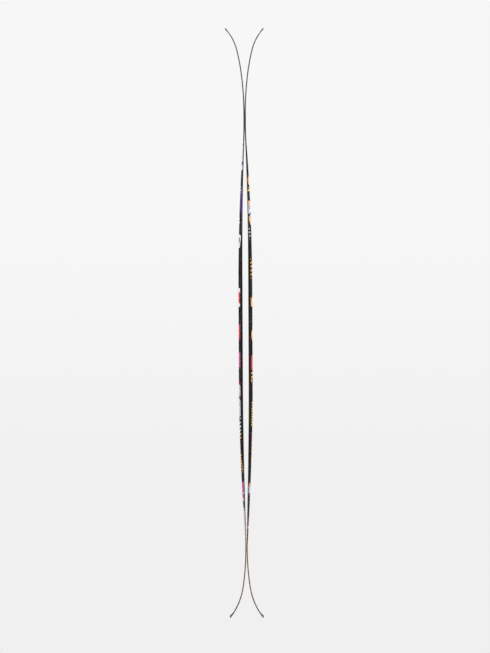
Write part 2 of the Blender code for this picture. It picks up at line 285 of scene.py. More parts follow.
def toWorld(side, place):
    # the left ski faces -X and the right ski +X
    x, y, z = place
    if side == "left":
        return ski["matingPlane"] - x, -y, z
    return ski["matingPlane"] + x, y, z


def skiSides(side):
    # +1 or -1 along the ski's own Y for the side that faces the camera and the one behind
    return {"inside": 1, "outside": -1} if side == "left" else {"inside": -1, "outside": 1}


print("shape of the ski worked out")


# Node building

nodeRoom = {"width": 200, "height": 200, "wide": 320}


def addNode(tree, kind, inputs=None, **settings):
    # inputs are numbers, colours and such, or the outputs of other nodes
    made = tree.nodes.new(kind)
    for name, value in settings.items():
        setattr(made, name, value)
    columns = [0]
    for name, value in (inputs or {}).items():
        if isinstance(value, bpy.types.NodeSocket):
            tree.links.new(value, made.inputs[name])
            columns.append(value.node.location.x + nodeRoom["width"])
        else:
            made.inputs[name].default_value = value
    # it stands right of the nodes that lead into it, below those already in that column
    column = max(columns)
    filled = [node.location.y for node in tree.nodes
              if node != made and abs(node.location.x - column) < 1]
    made.location = (column, min(filled, default=nodeRoom["height"]) - nodeRoom["height"])
    return made


def reckon(tree, operation, *values):
    inputs = dict(enumerate(values))
    return addNode(tree, "ShaderNodeMath", inputs, operation=operation).outputs[0]


def vectorMath(tree, operation, inputs):
    return addNode(tree, "ShaderNodeVectorMath", inputs, operation=operation).outputs[0]


def partsOf(tree, vector):
    return addNode(tree, "ShaderNodeSeparateXYZ", {0: vector}).outputs


def joined(tree, parts):
    return addNode(tree, "ShaderNodeCombineXYZ", parts).outputs[0]


def stepUp(tree, value, low, high):
    # 0 below low, 1 above high, smooth between
    inputs = {"Value": value, "From Min": low, "From Max": high}
    made = addNode(tree, "ShaderNodeMapRange", inputs, interpolation_type="SMOOTHSTEP")
    return made.outputs["Result"]


def mixColours(tree, share, first, second):
    inputs = {0: share, 6: first, 7: second}
    return addNode(tree, "ShaderNodeMix", inputs, data_type="RGBA").outputs[2]


def mixValues(tree, share, first, second):
    inputs = {0: share, 2: first, 3: second}
    return addNode(tree, "ShaderNodeMix", inputs, data_type="FLOAT").outputs[0]


def colourRamp(tree, value, stops, crisp=False):
    made = addNode(tree, "ShaderNodeValToRGB", {"Fac": value})
    band = made.color_ramp
    band.interpolation = "CONSTANT" if crisp else "LINEAR"
    while len(band.elements) < len(stops):
        band.elements.new(0.5)
    for element, (place, colour) in zip(band.elements, stops):
        element.position = place
        element.color = colour
    return made.outputs["Color"]


def stretched(tree, vector, scale):
    return vectorMath(tree, "MULTIPLY", {0: vector, 1: scale})


def turned(tree, vector, angles):
    return addNode(tree, "ShaderNodeMapping", {"Vector": vector, "Rotation": angles}).outputs[0]


def noise(tree, vector, scale, detail, roughness=0.5, dimensions="3D", output=0):
    inputs = {"Vector": vector, "Scale": scale, "Detail": detail, "Roughness": roughness}
    made = addNode(tree, "ShaderNodeTexNoise", inputs, noise_dimensions=dimensions)
    return made.outputs[output]


def shade(red, green, blue):
    # a colour as read off a screen, 0 to 255, made linear
    values = [value / 255 for value in (red, green, blue)]
    linear = [v / 12.92 if v <= 0.04045 else ((v + 0.055) / 1.055) ** 2.4 for v in values]
    return (*linear, 1.0)


def newGroup(name, inputs, outputs, kind="ShaderNodeTree"):
    # each socket has its kind, or else the value it starts with
    tree = bpy.data.node_groups.new(name, kind)
    kinds = {float: "Float", int: "Int", tuple: "Vector"}
    for way, sockets in (("INPUT", inputs), ("OUTPUT", outputs)):
        for label, value in sockets.items():
            carries = kinds.get(type(value), value)
            made = tree.interface.new_socket(label, in_out=way,
                                             socket_type="NodeSocket" + carries)
            if value != carries:
                made.default_value = value
    return tree, addNode(tree, "NodeGroupInput").outputs, addNode(tree, "NodeGroupOutput")


def feed(tree, last, sockets):
    # the last node gets its inputs, and stands right of all others with what comes after it
    for name, value in sockets.items():
        tree.links.new(value, last.inputs[name])
    ending = [last] + [link.to_node for output in last.outputs for link in output.links]
    right = max(node.location.x for node in tree.nodes if node not in ending)
    for number, node in enumerate(ending):
        node.location = (right + (number + 1) * nodeRoom["wide"], 0)


def useGroup(tree, group, inputs):
    return addNode(tree, "ShaderNodeGroup", inputs, node_tree=group).outputs


def newMaterial(name, look):
    # what is the same all over is set on the shader's own sockets
    made = bpy.data.materials.new(name)
    made.use_nodes = True
    tree = made.node_tree
    for label, value in look["fixed"].items():
        tree.nodes["Principled BSDF"].inputs[label].default_value = value
    return made, tree, ownPosition(tree)


def ownPosition(tree):
    return addNode(tree, "ShaderNodeTexCoord").outputs["Object"]


def wrapVector(tree):
    # along and round the layer, in metres
    return addNode(tree, "ShaderNodeUVMap", uv_map="wrap").outputs["UV"]


def bump(tree, height, strength, distance):
    inputs = {"Height": height, "Strength": strength, "Distance": distance}
    return addNode(tree, "ShaderNodeBump", inputs).outputs["Normal"]


# Effects that several finishes share. A noise is given as its scale, detail and roughness.

grainPattern = {
    "coarse": (4.0, 0.6),
    "fine": (2.0, 0.5),
    "finer": 3.7,
    "fineShare": 0.4,
}


def makeFineGrain():
    # lines or specks, by how the vector is stretched
    tree, entry, out = newGroup("fineGrain", {
        "Vector": "Vector", "Stretch": (1, 1, 1), "Scale": 100.0, "Contrast": 1.0},
        {"Grain": "Float"})
    vector = stretched(tree, entry["Vector"], entry["Stretch"])
    coarse = noise(tree, vector, entry["Scale"], *grainPattern["coarse"])
    fineScale = reckon(tree, "MULTIPLY", entry["Scale"], grainPattern["finer"])
    fine = noise(tree, vector, fineScale, *grainPattern["fine"])
    both = mixValues(tree, grainPattern["fineShare"], coarse, fine)
    centred = reckon(tree, "SUBTRACT", both, 0.5)
    scaled = reckon(tree, "MULTIPLY_ADD", centred, entry["Contrast"], 0.5)
    feed(tree, out, {"Grain": addNode(tree, "ShaderNodeClamp", {0: scaled}).outputs[0]})
    return tree


marksPattern = {
    "turns": ((0.5, 0.35, 0.5), (-1.1, -0.77, -1.1)),  # the two ways that the scratches run
    "stretch": (1.0, 14.0, 9.0),
    "lines": (2.0, 0.55),
    "scratch": (0.69, 0.74),
    "patches": (9.0, 2.0),
    "patchEdge": (0.46, 0.66),
    "smear": (23.0, 3.0, 0.6),
    "smearEdge": (0.35, 0.7),
}


def makeHandlingMarks():
    # thin scratches in two directions and soft smears between them
    tree, entry, out = newGroup("handlingMarks", {
        "Vector": "Vector", "Scale": 60.0, "Amount": 0.5},
        {"Scratch": "Float", "Smear": "Float"})
    look = marksPattern
    masks = []
    for turn in look["turns"]:
        thin = stretched(tree, turned(tree, entry["Vector"], turn), look["stretch"])
        lines = noise(tree, thin, entry["Scale"], *look["lines"])
        masks.append(stepUp(tree, lines, *look["scratch"]))
    either = reckon(tree, "MAXIMUM", *masks)
    patches = stepUp(tree, noise(tree, entry["Vector"], *look["patches"]), *look["patchEdge"])
    kept = reckon(tree, "MULTIPLY", either, patches)
    smear = noise(tree, entry["Vector"], *look["smear"])
    feed(tree, out, {"Scratch": reckon(tree, "MULTIPLY", kept, entry["Amount"]),
                     "Smear": stepUp(tree, smear, *look["smearEdge"])})
    return tree


wearPattern = {
    "chips": (5.0, 0.65),
    "patches": (16.0, 1.0),
    "patchEdge": (0.38, 0.68),
    "reach": 5.0,  # the higher, the closer to the edge the wear stays
    "chipEdge": (0.74, 0.80),
}


def makeRimWear():
    # chips and rubbed paint near an edge: Rim is 0 inboard and 1 at the edge
    tree, entry, out = newGroup("rimWear", {
        "Vector": "Vector", "Rim": 0.0, "Amount": 0.3, "Scale": 300.0}, {"Mask": "Float"})
    look = wearPattern
    chips = noise(tree, entry["Vector"], entry["Scale"], *look["chips"])
    local = stepUp(tree, noise(tree, entry["Vector"], *look["patches"]), *look["patchEdge"])
    reach = reckon(tree, "POWER", entry["Rim"], look["reach"])
    pull = reckon(tree, "MULTIPLY", reach, local)
    level = reckon(tree, "MULTIPLY_ADD", pull, entry["Amount"], chips)
    feed(tree, out, {"Mask": stepUp(tree, level, *look["chipEdge"])})
    return tree


weavePattern = {"drift": (40.0, 1.0), "wander": 2.0}


def makeGlassWeave():
    # plain weave: two sets of rounded threads, one over the other
    tree, entry, out = newGroup("glassWeave", {
        "Vector": "Vector", "Threads": 1400.0}, {"Thread": "Float", "Crossing": "Float"})
    drift = noise(tree, entry["Vector"], *weavePattern["drift"])
    scaled = vectorMath(tree, "SCALE", {"Vector": entry["Vector"], "Scale": entry["Threads"]})
    parts = partsOf(tree, scaled)
    wander = reckon(tree, "MULTIPLY", drift, weavePattern["wander"])
    waves = []
    for name in ("Y", "Z"):
        turn = reckon(tree, "MULTIPLY_ADD", parts[name], math.pi, wander)
        waves.append(reckon(tree, "ABSOLUTE", reckon(tree, "SINE", turn)))
    checker = addNode(tree, "ShaderNodeTexChecker", {"Vector": scaled, "Scale": 1.0})
    feed(tree, out, {"Thread": mixValues(tree, checker.outputs["Fac"], *waves),
                     "Crossing": reckon(tree, "MULTIPLY", *waves)})
    return tree


figurePattern = {
    "ringStretch": (1.0, 1.0, 0.045),
    "sway": (30.0, 2.0),
    "swayReach": (0.006, 0.006, 0.0),
    "distortion": 1.5,
    "poreStretch": (1.0, 1.0, 0.02),
    "pores": (2600.0, 1.0),
    "poreEdge": (0.66, 0.74),
}


def makeWoodFigure():
    # growth rings as long bands, with pores
    tree, entry, out = newGroup("woodFigure", {
        "Vector": "Vector", "Rings": 420.0, "Pores": 0.3}, {"Ring": "Float", "Pore": "Float"})
    look = figurePattern
    long = stretched(tree, entry["Vector"], look["ringStretch"])
    sway = noise(tree, long, *look["sway"], output="Color")
    swayed = vectorMath(tree, "MULTIPLY_ADD", {0: sway, 1: look["swayReach"], 2: long})
    rings = addNode(tree, "ShaderNodeTexWave", {
        "Vector": swayed, "Scale": entry["Rings"], "Distortion": look["distortion"]},
        bands_direction="DIAGONAL").outputs["Fac"]
    thin = stretched(tree, entry["Vector"], look["poreStretch"])
    pores = stepUp(tree, noise(tree, thin, *look["pores"]), *look["poreEdge"])
    feed(tree, out, {"Ring": rings, "Pore": reckon(tree, "MULTIPLY", pores, entry["Pores"])})
    return tree


fineGrain = makeFineGrain()
handlingMarks = makeHandlingMarks()
rimWear = makeRimWear()
glassWeave = makeGlassWeave()
woodFigure = makeWoodFigure()

printColours = {
    "ground": shade(12, 12, 20),
    "groundSoft": shade(30, 29, 39),
    "hairline": shade(60, 58, 74),
    "pale": shade(240, 233, 233),
    "cool": [
        (0.00, shade(236, 238, 246)),
        (0.15, shade(190, 210, 226)),
        (0.27, shade(206, 198, 220)),
        (0.38, shade(84, 46, 124)),
        (0.50, shade(129, 71, 130)),
        (0.61, shade(205, 92, 156)),
        (0.72, shade(226, 166, 200)),
        (0.82, shade(140, 18, 66)),
        (0.91, shade(224, 234, 242)),
    ],
    "warm": [
        (0.00, shade(255, 246, 206)),
        (0.14, shade(240, 240, 244)),
        (0.26, shade(255, 192, 80)),
        (0.39, shade(228, 133, 79)),
        (0.52, shade(224, 96, 128)),
        (0.63, shade(222, 62, 76)),
        (0.73, shade(140, 18, 66)),
        (0.82, shade(246, 185, 128)),
        (0.92, shade(188, 206, 224)),
    ],
}

printDesign = {
    "islands": (12.5, 21.0),  # how many to a metre, along and across
    "islandSize": (0.17, 0.29),  # the least, and how much more the largest has
    "islandScatter": 0.85,
    "core": 0.60,  # size of the inner island
    "coreless": 0.45,  # share of the islands without one
    "coreShift": 0.41,  # how far round the colours an island's core lies
    "ring": (0.055, 0.008),  # how far off the island, and half its width
    "ringStrength": 0.7,
    "bendNoise": (9.0, 1.5),
    "bend": (0.060, 0.030),
    "familyNoise": (4.5, 1.0),
    "familySplit": (0.497, 0.503),
    "groundStretch": (10.0, 22.0, 1.0),
    "groundSplit": (0.548, 0.552),
    "hairlines": 70.0,
    "hairlineWidth": (0.45, 0.475),
    "hairlineNoise": (6.0, 0.0),
    "hairlinePlaces": (0.50, 0.54),
    "paleNoise": (30.0, 1.0),
    "paleWaver": 0.04,  # how far the pale end's border wanders
    "stripesPerMetre": 84.0,
    "stripeSlant": 0.55,
    "stripeFrom": 0.27,
    "zoneStretch": (7.0, 13.0, 1.0),
    "stripedFrom": 0.675,  # where the slow pattern has stripes, and where dots
    "dottedBelow": 0.325,
    "dotsPerMetre": 120.0,
    "dotSize": 0.30,
    "confetti": 46.0,
    "confettiSize": 0.17,
    "confettiFrom": 0.80,
    "accents": (shade(206, 224, 238), shade(255, 192, 80)),
}


def flatCells(tree, vector, scale, randomness):
    inputs = {"Vector": vector, "Scale": scale, "Randomness": randomness}
    return addNode(tree, "ShaderNodeTexVoronoi", inputs, voronoi_dimensions="2D").outputs


def flatNoise(tree, vector, scale, detail, output=0):
    return noise(tree, vector, scale, detail, dimensions="2D", output=output)


def makeDriftPrint():
    # rounded islands of flat colour adrift on a dark ground, with hairlines, stripes and dots
    tree, entry, out = newGroup("driftPrint", {
        "Vector": "Vector", "Seed": 0.0, "Warmth": 0.5, "Pale from": 9.0}, {"Colour": "Color"})
    design, inks = printDesign, printColours
    seedShift = joined(tree, {"X": entry["Seed"], "Y": entry["Seed"]})
    moved = vectorMath(tree, "ADD", {0: entry["Vector"], 1: seedShift})
    bend = flatNoise(tree, moved, *design["bendNoise"], output="Color")
    bent = vectorMath(tree, "MULTIPLY_ADD", {0: bend, 1: (*design["bend"], 0.0), 2: moved})

    # which colours, cool or warm, drifts slowly along the ski
    family = flatNoise(tree, moved, *design["familyNoise"])
    warmer = reckon(tree, "SUBTRACT", entry["Warmth"], 0.5)
    share = stepUp(tree, reckon(tree, "ADD", family, warmer), *design["familySplit"])

    # ground: two near blacks with hairlines, or the pale end
    slow = stretched(tree, bent, design["groundStretch"])
    level = flatNoise(tree, slow, 1.0, 1.0)
    ground = mixColours(tree, stepUp(tree, level, *design["groundSplit"]), inks["ground"],
                        inks["groundSoft"])
    count = reckon(tree, "MULTIPLY", level, design["hairlines"])
    line = stepUp(tree, reckon(tree, "PINGPONG", count, 0.5), *design["hairlineWidth"])
    patches = flatNoise(tree, moved, *design["hairlineNoise"])
    where = stepUp(tree, patches, *design["hairlinePlaces"])
    ground = mixColours(tree, reckon(tree, "MULTIPLY", line, where), ground, inks["hairline"])
    along = partsOf(tree, entry["Vector"])
    waver = flatNoise(tree, moved, *design["paleNoise"])
    border = reckon(tree, "MULTIPLY_ADD", waver, design["paleWaver"], along["X"])
    pale = reckon(tree, "GREATER_THAN", border, entry["Pale from"])
    ground = mixColours(tree, pale, ground, inks["pale"])

    # islands, each with a core of another colour
    spread = stretched(tree, bent, (*design["islands"], 1.0))
    cells = flatCells(tree, spread, 1.0, design["islandScatter"])
    pick = addNode(tree, "ShaderNodeSeparateColor", {0: cells["Color"]}).outputs
    least, more = design["islandSize"]
    size = reckon(tree, "MULTIPLY_ADD", pick[1], more, least)
    inside = reckon(tree, "LESS_THAN", cells["Distance"], size)
    coreSize = reckon(tree, "MULTIPLY", size, design["core"])
    inCore = reckon(tree, "LESS_THAN", cells["Distance"], coreSize)
    hasCore = reckon(tree, "GREATER_THAN", pick[2], design["coreless"])
    core = reckon(tree, "MULTIPLY", inCore, hasCore)
    other = reckon(tree, "FRACT", reckon(tree, "ADD", pick[0], design["coreShift"]))
    chosen = mixValues(tree, core, pick[0], other)
    families = (colourRamp(tree, chosen, inks[name], crisp=True) for name in ("cool", "warm"))
    colour = mixColours(tree, inside, ground, mixColours(tree, share, *families))

    # a thin ring round each island
    far = reckon(tree, "SUBTRACT", cells["Distance"], size)
    ring = reckon(tree, "COMPARE", far, *design["ring"])
    ring = reckon(tree, "MULTIPLY", ring, design["ringStrength"])
    colour = mixColours(tree, ring, colour, inks["hairline"])

    # slanted stripes in some places and rows of dots in others
    accent = mixColours(tree, share, *design["accents"])
    across = partsOf(tree, moved)
    slant = reckon(tree, "MULTIPLY_ADD", across["Y"], design["stripeSlant"], across["X"])
    count = reckon(tree, "MULTIPLY", slant, design["stripesPerMetre"])
    stripe = reckon(tree, "GREATER_THAN", reckon(tree, "PINGPONG", count, 0.5),
                    design["stripeFrom"])
    slower = stretched(tree, moved, design["zoneStretch"])
    zone = flatNoise(tree, slower, 1.0, 1.0)
    striped = reckon(tree, "GREATER_THAN", zone, design["stripedFrom"])
    dotted = reckon(tree, "LESS_THAN", zone, design["dottedBelow"])
    grid = flatCells(tree, moved, design["dotsPerMetre"], 0.0)["Distance"]
    dot = reckon(tree, "LESS_THAN", grid, design["dotSize"])
    zones = reckon(tree, "MAXIMUM", striped, dotted)
    marks = reckon(tree, "MAXIMUM", reckon(tree, "MULTIPLY", stripe, striped),
                   reckon(tree, "MULTIPLY", dot, dotted))
    colour = mixColours(tree, zones, colour, inks["ground"])
    colour = mixColours(tree, marks, colour, accent)

    # confetti
    bits = flatCells(tree, bent, design["confetti"], 1.0)
    bitPick = addNode(tree, "ShaderNodeSeparateColor", {0: bits["Color"]}).outputs
    small = reckon(tree, "LESS_THAN", bits["Distance"], design["confettiSize"])
    few = reckon(tree, "GREATER_THAN", bitPick[0], design["confettiFrom"])
    colour = mixColours(tree, reckon(tree, "MULTIPLY", small, few), colour, accent)
    feed(tree, out, {"Colour": colour})
    return tree


driftPrint = makeDriftPrint()
print("shared effects built")


# Finishes

def attributeValue(tree, name):
    return addNode(tree, "ShaderNodeAttribute", attribute_name=name).outputs["Fac"]


def grainOn(tree, vector, values):
    return useGroup(tree, fineGrain, {"Vector": vector, **values})["Grain"]


def marksOn(tree, vector, values):
    # scratches and smears
    return useGroup(tree, handlingMarks, {"Vector": vector, **values})


def wearOn(tree, vector, values):
    inputs = {"Vector": vector, "Rim": attributeValue(tree, "rim"), **values}
    return useGroup(tree, rimWear, inputs)["Mask"]


def weaveOn(tree, vector, threads):
    # threads and their crossings
    return useGroup(tree, glassWeave, {"Vector": vector, "Threads": threads})


def laidOver(tree, mask, colour, share, tone):
    # a tone laid thinly over the colour where the mask is
    return mixColours(tree, reckon(tree, "MULTIPLY", mask, share), colour, tone)


def addUp(tree, values, *masks):
    # the first value, plus each mask times its own
    total = values[0]
    for mask, share in zip(masks, values[1:]):
        total = reckon(tree, "MULTIPLY_ADD", mask, share, total)
    return total


def mottled(tree, look, first, second):
    # two patterns mixed, and coloured
    return colourRamp(tree, mixValues(tree, look["mottle"], first, second), look["tones"])


def finishWith(made, look, colour, roughMasks, heightMasks, **sockets):
    # what all finishes end with: a colour, a roughness and a relief from the same patterns
    tree = made.node_tree
    height = addUp(tree, (heightMasks[0], *look.get("relief", ())), *heightMasks[1:])
    feed(tree, tree.nodes["Principled BSDF"], {
        "Base Color": colour, "Roughness": addUp(tree, look["rough"], *roughMasks),
        "Normal": bump(tree, height, *look["bump"]), **sockets})
    return made


# In each finish, fixed is the same all over. The first value of rough is there everywhere and
# the others add to it with a pattern each, and so does relief. Bump is a strength and a depth.

topsheetFinish = {
    "fixed": {"Specular IOR Level": 0.25, "Coat Roughness": 0.10, "Coat IOR": 1.35},
    "left": {"print": {"Seed": 6.6, "Warmth": 0.42, "Pale from": 1.478},
             "printed": (0.215, 1.560)},
    "right": {"print": {"Seed": 14.2, "Warmth": 0.58, "Pale from": 9.0},
              "printed": (0.262, 1.560)},
    "printFade": (0.016, 0.014),  # over this length the print gives way to the bare rim
    "darkBorder": 0.78,  # share of the bevel that stays dark beside the tall sidewall
    # the next two set painted shade on the bevel where the two skis touch near the tips
    "contactShade": (0.236, 0.312),  # and all of it beside the line where the tips part
    "contactShadeRim": (0.05, 0.15),
    "darkNose": (0.016, 0.0112),
    "bareRim": (0.05, 0.12),
    "rimCloud": (160.0, 3.0),
    "rimTones": (shade(122, 108, 98), shade(156, 141, 129)),
    "noseTone": shade(30, 27, 26),
    "coat": 0.35,
    "wear": {"Amount": 0.27, "Scale": 420.0},
    "wornTone": shade(108, 104, 101),
    "marks": {"Scale": 34.0, "Amount": 0.5},
    "scratched": (0.22, shade(200, 198, 200)),
    "grain": {"Scale": 900.0, "Contrast": 1.6},
    "peel": (240.0, 2.0),
    "rough": (0.20, 0.06, 0.25, 0.3),
    "relief": (0.25, -0.8, -1.5),
    "bump": (0.25, 0.00008),
}

bootTicks = {
    "pitch": 0.010,
    "eachWay": 2.5,
    "line": (0.035, 0.025),  # share of the pitch
    "between": (0.029, 0.034),  # metres off the middle line
    "middleReach": 0.006,  # the middle tick is longer by this
    "tone": shade(214, 214, 222),
}


def tickMask(tree, along, position):
    # boot centre ticks, plain lines on both sides of the binding zone
    fromCentre = reckon(tree, "SUBTRACT", along, arcAt(ski["bootCentre"]))
    counted = reckon(tree, "DIVIDE", fromCentre, bootTicks["pitch"])
    far = reckon(tree, "ABSOLUTE", counted)
    thin = stepUp(tree, reckon(tree, "PINGPONG", counted, 0.5), *bootTicks["line"])
    few = reckon(tree, "LESS_THAN", far, bootTicks["eachWay"])
    across = reckon(tree, "ABSOLUTE", partsOf(tree, position)["Y"])
    start, end = bootTicks["between"]
    isMiddle = reckon(tree, "LESS_THAN", far, 0.5)
    inner = reckon(tree, "MULTIPLY_ADD", isMiddle, -bootTicks["middleReach"], start)
    outside = reckon(tree, "GREATER_THAN", across, inner)
    within = reckon(tree, "LESS_THAN", across, end)
    return reckon(tree, "MULTIPLY", reckon(tree, "MULTIPLY", thin, few),
                  reckon(tree, "MULTIPLY", outside, within))


def footAndContactShadeMask(tree, along, rim):
    # a dark border runs along the foot of the bevel beside the tall sidewall; beside the line
    # where the tips part the whole bevel is painted shade, dark where the two bases meet
    front, rear, ramp = (sidewallBand[name] for name in ("front", "rear", "ramp"))
    frontEnd = stepUp(tree, along, arcAt(front), arcAt(front + ramp))
    rearEnd = stepUp(tree, along, arcAt(rear), arcAt(rear - ramp))
    both = reckon(tree, "MULTIPLY", frontEnd, rearEnd)
    foot = reckon(tree, "GREATER_THAN", reckon(tree, "MULTIPLY", rim, both),
                  topsheetFinish["darkBorder"])
    # painted shade over the whole bevel where the two skis touch near the tips
    start, end = (arcAt(length) for length in topsheetFinish["contactShade"])
    beside = reckon(tree, "COMPARE", along, (start + end) / 2, (end - start) / 2)
    bevelled = stepUp(tree, rim, *topsheetFinish["contactShadeRim"])
    return reckon(tree, "MAXIMUM", foot, reckon(tree, "MULTIPLY", beside, bevelled))


def makeTopsheet(side):
    look = {**topsheetFinish, **topsheetFinish[side]}
    made, tree, position = newMaterial(side + "TopsheetPrint", look)
    wrap = wrapVector(tree)
    along = partsOf(tree, wrap)["X"]
    rim, blade = (attributeValue(tree, name) for name in ("rim", "blade"))
    colour = useGroup(tree, driftPrint, {"Vector": wrap, **look["print"]})["Colour"]
    colour = mixColours(tree, tickMask(tree, along, position), colour, bootTicks["tone"])
    # the print's ground laid on the bevel foot, and as painted shade where the skis touch
    colour = mixColours(tree, footAndContactShadeMask(tree, along, rim), colour, printColours["ground"])
    # the trimmed rim shows the sheet's own plastic at the thin ends, where the cap is a line
    rimTone = mixColours(tree, noise(tree, position, *look["rimCloud"]), *look["rimTones"])
    nose = stepUp(tree, along, *look["darkNose"])
    rimTone = mixColours(tree, nose, rimTone, look["noseTone"])
    bare = reckon(tree, "MULTIPLY", blade, stepUp(tree, rim, *look["bareRim"]))
    worn = wearOn(tree, position, look["wear"])
    scratch, smear = marksOn(tree, position, look["marks"])
    colour = mixColours(tree, bare, colour, rimTone)
    colour = mixColours(tree, worn, colour, look["wornTone"])
    colour = laidOver(tree, scratch, colour, *look["scratched"])
    coat = mixValues(tree, reckon(tree, "MAXIMUM", bare, worn), look["coat"], 0.0)
    grain = grainOn(tree, position, look["grain"])
    peel = noise(tree, position, *look["peel"])
    return finishWith(made, look, colour, [smear, scratch, worn], [peel, grain, scratch, worn],
                      **{"Coat Weight": coat})


steelFinish = {
    "fixed": {"Specular IOR Level": 0.5},
    "lines": {"Stretch": (1.0, 1.0, 0.03), "Scale": 2400.0, "Contrast": 1.8},
    "clouds": (26.0, 4.0, 0.6),
    "mottle": 0.55,
    "tones": [(0.20, (0.120, 0.090, 0.070, 1)), (0.50, (0.205, 0.162, 0.128, 1)),
              (0.80, (0.320, 0.268, 0.222, 1))],
    "frontEnd": (0.66, 0.72),  # heights between which the steel turns to the paler, duller ends
    "rearEnd": (-0.50, -0.60),
    "frontShare": 0.36,
    "paler": (2.5, 2.12, 1.72),
    "dull": 0.35,
    "rustSpecks": (700.0, 3.0, 0.7),
    "rustPlaces": (14.0, 1.0),
    "rustPull": 0.35,
    "rust": (0.86, 0.93),
    "rusty": (0.7, (0.110, 0.046, 0.020, 1)),
    "rustMetal": 0.25,
    "rough": (0.29, 0.14, 0.4),
    "relief": (0.6,),
    "bump": (0.3, 0.00003),
}


def makeSteel():
    look = steelFinish
    made, tree, position = newMaterial("groundSteel", look)
    lines = grainOn(tree, position, look["lines"])
    colour = mottled(tree, look, lines, noise(tree, position, *look["clouds"]))
    height = partsOf(tree, position)["Z"]
    front, rear = (stepUp(tree, height, *look[name]) for name in ("frontEnd", "rearEnd"))
    ends = reckon(tree, "MULTIPLY_ADD", front, look["frontShare"], rear)
    colour = mixColours(tree, ends, colour, stretched(tree, colour, look["paler"]))
    specks, where = (noise(tree, position, *look[name]) for name in ("rustSpecks", "rustPlaces"))
    level = reckon(tree, "MULTIPLY_ADD", where, look["rustPull"], specks)
    rust = stepUp(tree, level, *look["rust"])
    metal = mixValues(tree, rust, mixValues(tree, ends, 1.0, look["dull"]), look["rustMetal"])
    return finishWith(made, look, laidOver(tree, rust, colour, *look["rusty"]), [lines, rust],
                      [lines, rust], Metallic=metal)


sidewallFinish = {
    "fixed": {"Specular IOR Level": 0.10},
    "sanding": {"Stretch": (1.0, 1.0, 0.06), "Scale": 1500.0, "Contrast": 1.7},
    "cloud": (18.0, 3.0),
    "mottle": 0.5,
    "tones": [(0.25, shade(4, 4, 7)), (0.55, shade(9, 9, 13)), (0.80, shade(20, 20, 25))],
    "wear": {"Amount": 0.30, "Scale": 500.0},
    "worn": (0.5, shade(70, 70, 74)),
    "marks": {"Scale": 46.0, "Amount": 0.8},
    "scratched": (0.35, shade(66, 66, 72)),
    "rough": (0.42, 0.22, 0.06),
    "relief": (-1.0, -1.2),
    "bump": (0.35, 0.00005),
}


def makeSidewall():
    look = sidewallFinish
    made, tree, position = newMaterial("sandedSidewall", look)
    sanding = grainOn(tree, position, look["sanding"])
    colour = mottled(tree, look, sanding, noise(tree, position, *look["cloud"]))
    worn = wearOn(tree, position, look["wear"])
    scratch, smear = marksOn(tree, position, look["marks"])
    colour = laidOver(tree, worn, colour, *look["worn"])
    colour = laidOver(tree, scratch, colour, *look["scratched"])
    return finishWith(made, look, colour, [sanding, smear], [sanding, scratch, worn])


soleFinish = {
    "fixed": {"Specular IOR Level": 0.30, "Coat Roughness": 0.35, "Coat IOR": 1.40},
    "groove": {"Stretch": (0.02, 1.0, 1.0), "Scale": 900.0, "Contrast": 2.2},
    "hatchTurns": ((0.0, 0.0, 0.21), (0.0, 0.0, -0.21)),
    "hatch": {"Scale": 160.0, "Distortion": 0.6, "Detail": 1.0},
    "hatched": 0.35,
    "cloud": (9.0, 3.0, 0.55),
    "mottle": 0.5,
    "tones": [(0.30, shade(11, 11, 12)), (0.60, shade(21, 21, 23)), (0.85, shade(38, 38, 41))],
    "marks": {"Scale": 26.0, "Amount": 0.9},
    "scratched": (0.3, shade(92, 92, 96)),
    "wax": 0.25,
    "rough": (0.36, 0.14, 0.10),
    "relief": (-1.2,),
    "bump": (0.35, 0.00004),
}


def makeSole():
    # the stone's fine grooves run along the ski, with a faint cross hatch
    look = soleFinish
    made, tree, position = newMaterial("waxedSole", look)
    wrap = wrapVector(tree)
    hatch = [addNode(tree, "ShaderNodeTexWave", {"Vector": turned(tree, wrap, turn),
                                                 **look["hatch"]},
                     bands_direction="Y").outputs["Fac"] for turn in look["hatchTurns"]]
    relief = addUp(tree, (grainOn(tree, wrap, look["groove"]), look["hatched"]),
                   reckon(tree, "MULTIPLY", *hatch))
    colour = mottled(tree, look, relief, noise(tree, position, *look["cloud"]))
    scratch, smear = marksOn(tree, position, look["marks"])
    return finishWith(made, look, laidOver(tree, scratch, colour, *look["scratched"]),
                      [relief, smear], [relief, scratch],
                      **{"Coat Weight": reckon(tree, "MULTIPLY", smear, look["wax"])})


laminateFinish = {
    "fixed": {"Specular IOR Level": 0.45, "Coat Roughness": 0.2, "Coat IOR": 1.5},
    "threads": 1500.0,
    "cloud": (45.0, 3.0),
    "mottle": 0.35,
    "tones": [(0.15, shade(64, 52, 42)), (0.50, shade(92, 78, 66)), (0.90, shade(122, 107, 93))],
    "resin": 0.4,
    "rough": (0.46, -0.14),
    "bump": (0.3, 0.00006),
}


def makeLaminate():
    look = laminateFinish
    made, tree, position = newMaterial("resinGlassCloth", look)
    thread, crossing = weaveOn(tree, position, look["threads"])
    cloud = noise(tree, position, *look["cloud"])
    return finishWith(made, look, mottled(tree, look, thread, cloud), [crossing], [thread],
                      **{"Coat Weight": reckon(tree, "MULTIPLY", cloud, look["resin"])})


# the foil and the spacer sheets are plain: specks or felt under a soft cloud
plainFinish = {
    "dampingRubber": {
        "fixed": {"Specular IOR Level": 0.2}, "grain": {"Scale": 2200.0, "Contrast": 1.5},
        "cloud": (60.0, 3.0), "mottle": 0.5,
        "tones": [(0.3, shade(16, 15, 15)), (0.7, shade(40, 38, 37))],
        "rough": (0.7, 0.2), "roughenedBy": "cloud"},
    "spacerSheet": {
        "fixed": {"Specular IOR Level": 0.25}, "grain": {"Scale": 1300.0, "Contrast": 1.9},
        "cloud": (30.0, 3.0), "mottle": 0.4,
        "tones": [(0.25, shade(78, 70, 64)), (0.75, shade(116, 106, 98))],
        "rough": (0.55, 0.2), "roughenedBy": "grain"},
    "bump": (0.4, 0.00005),
}


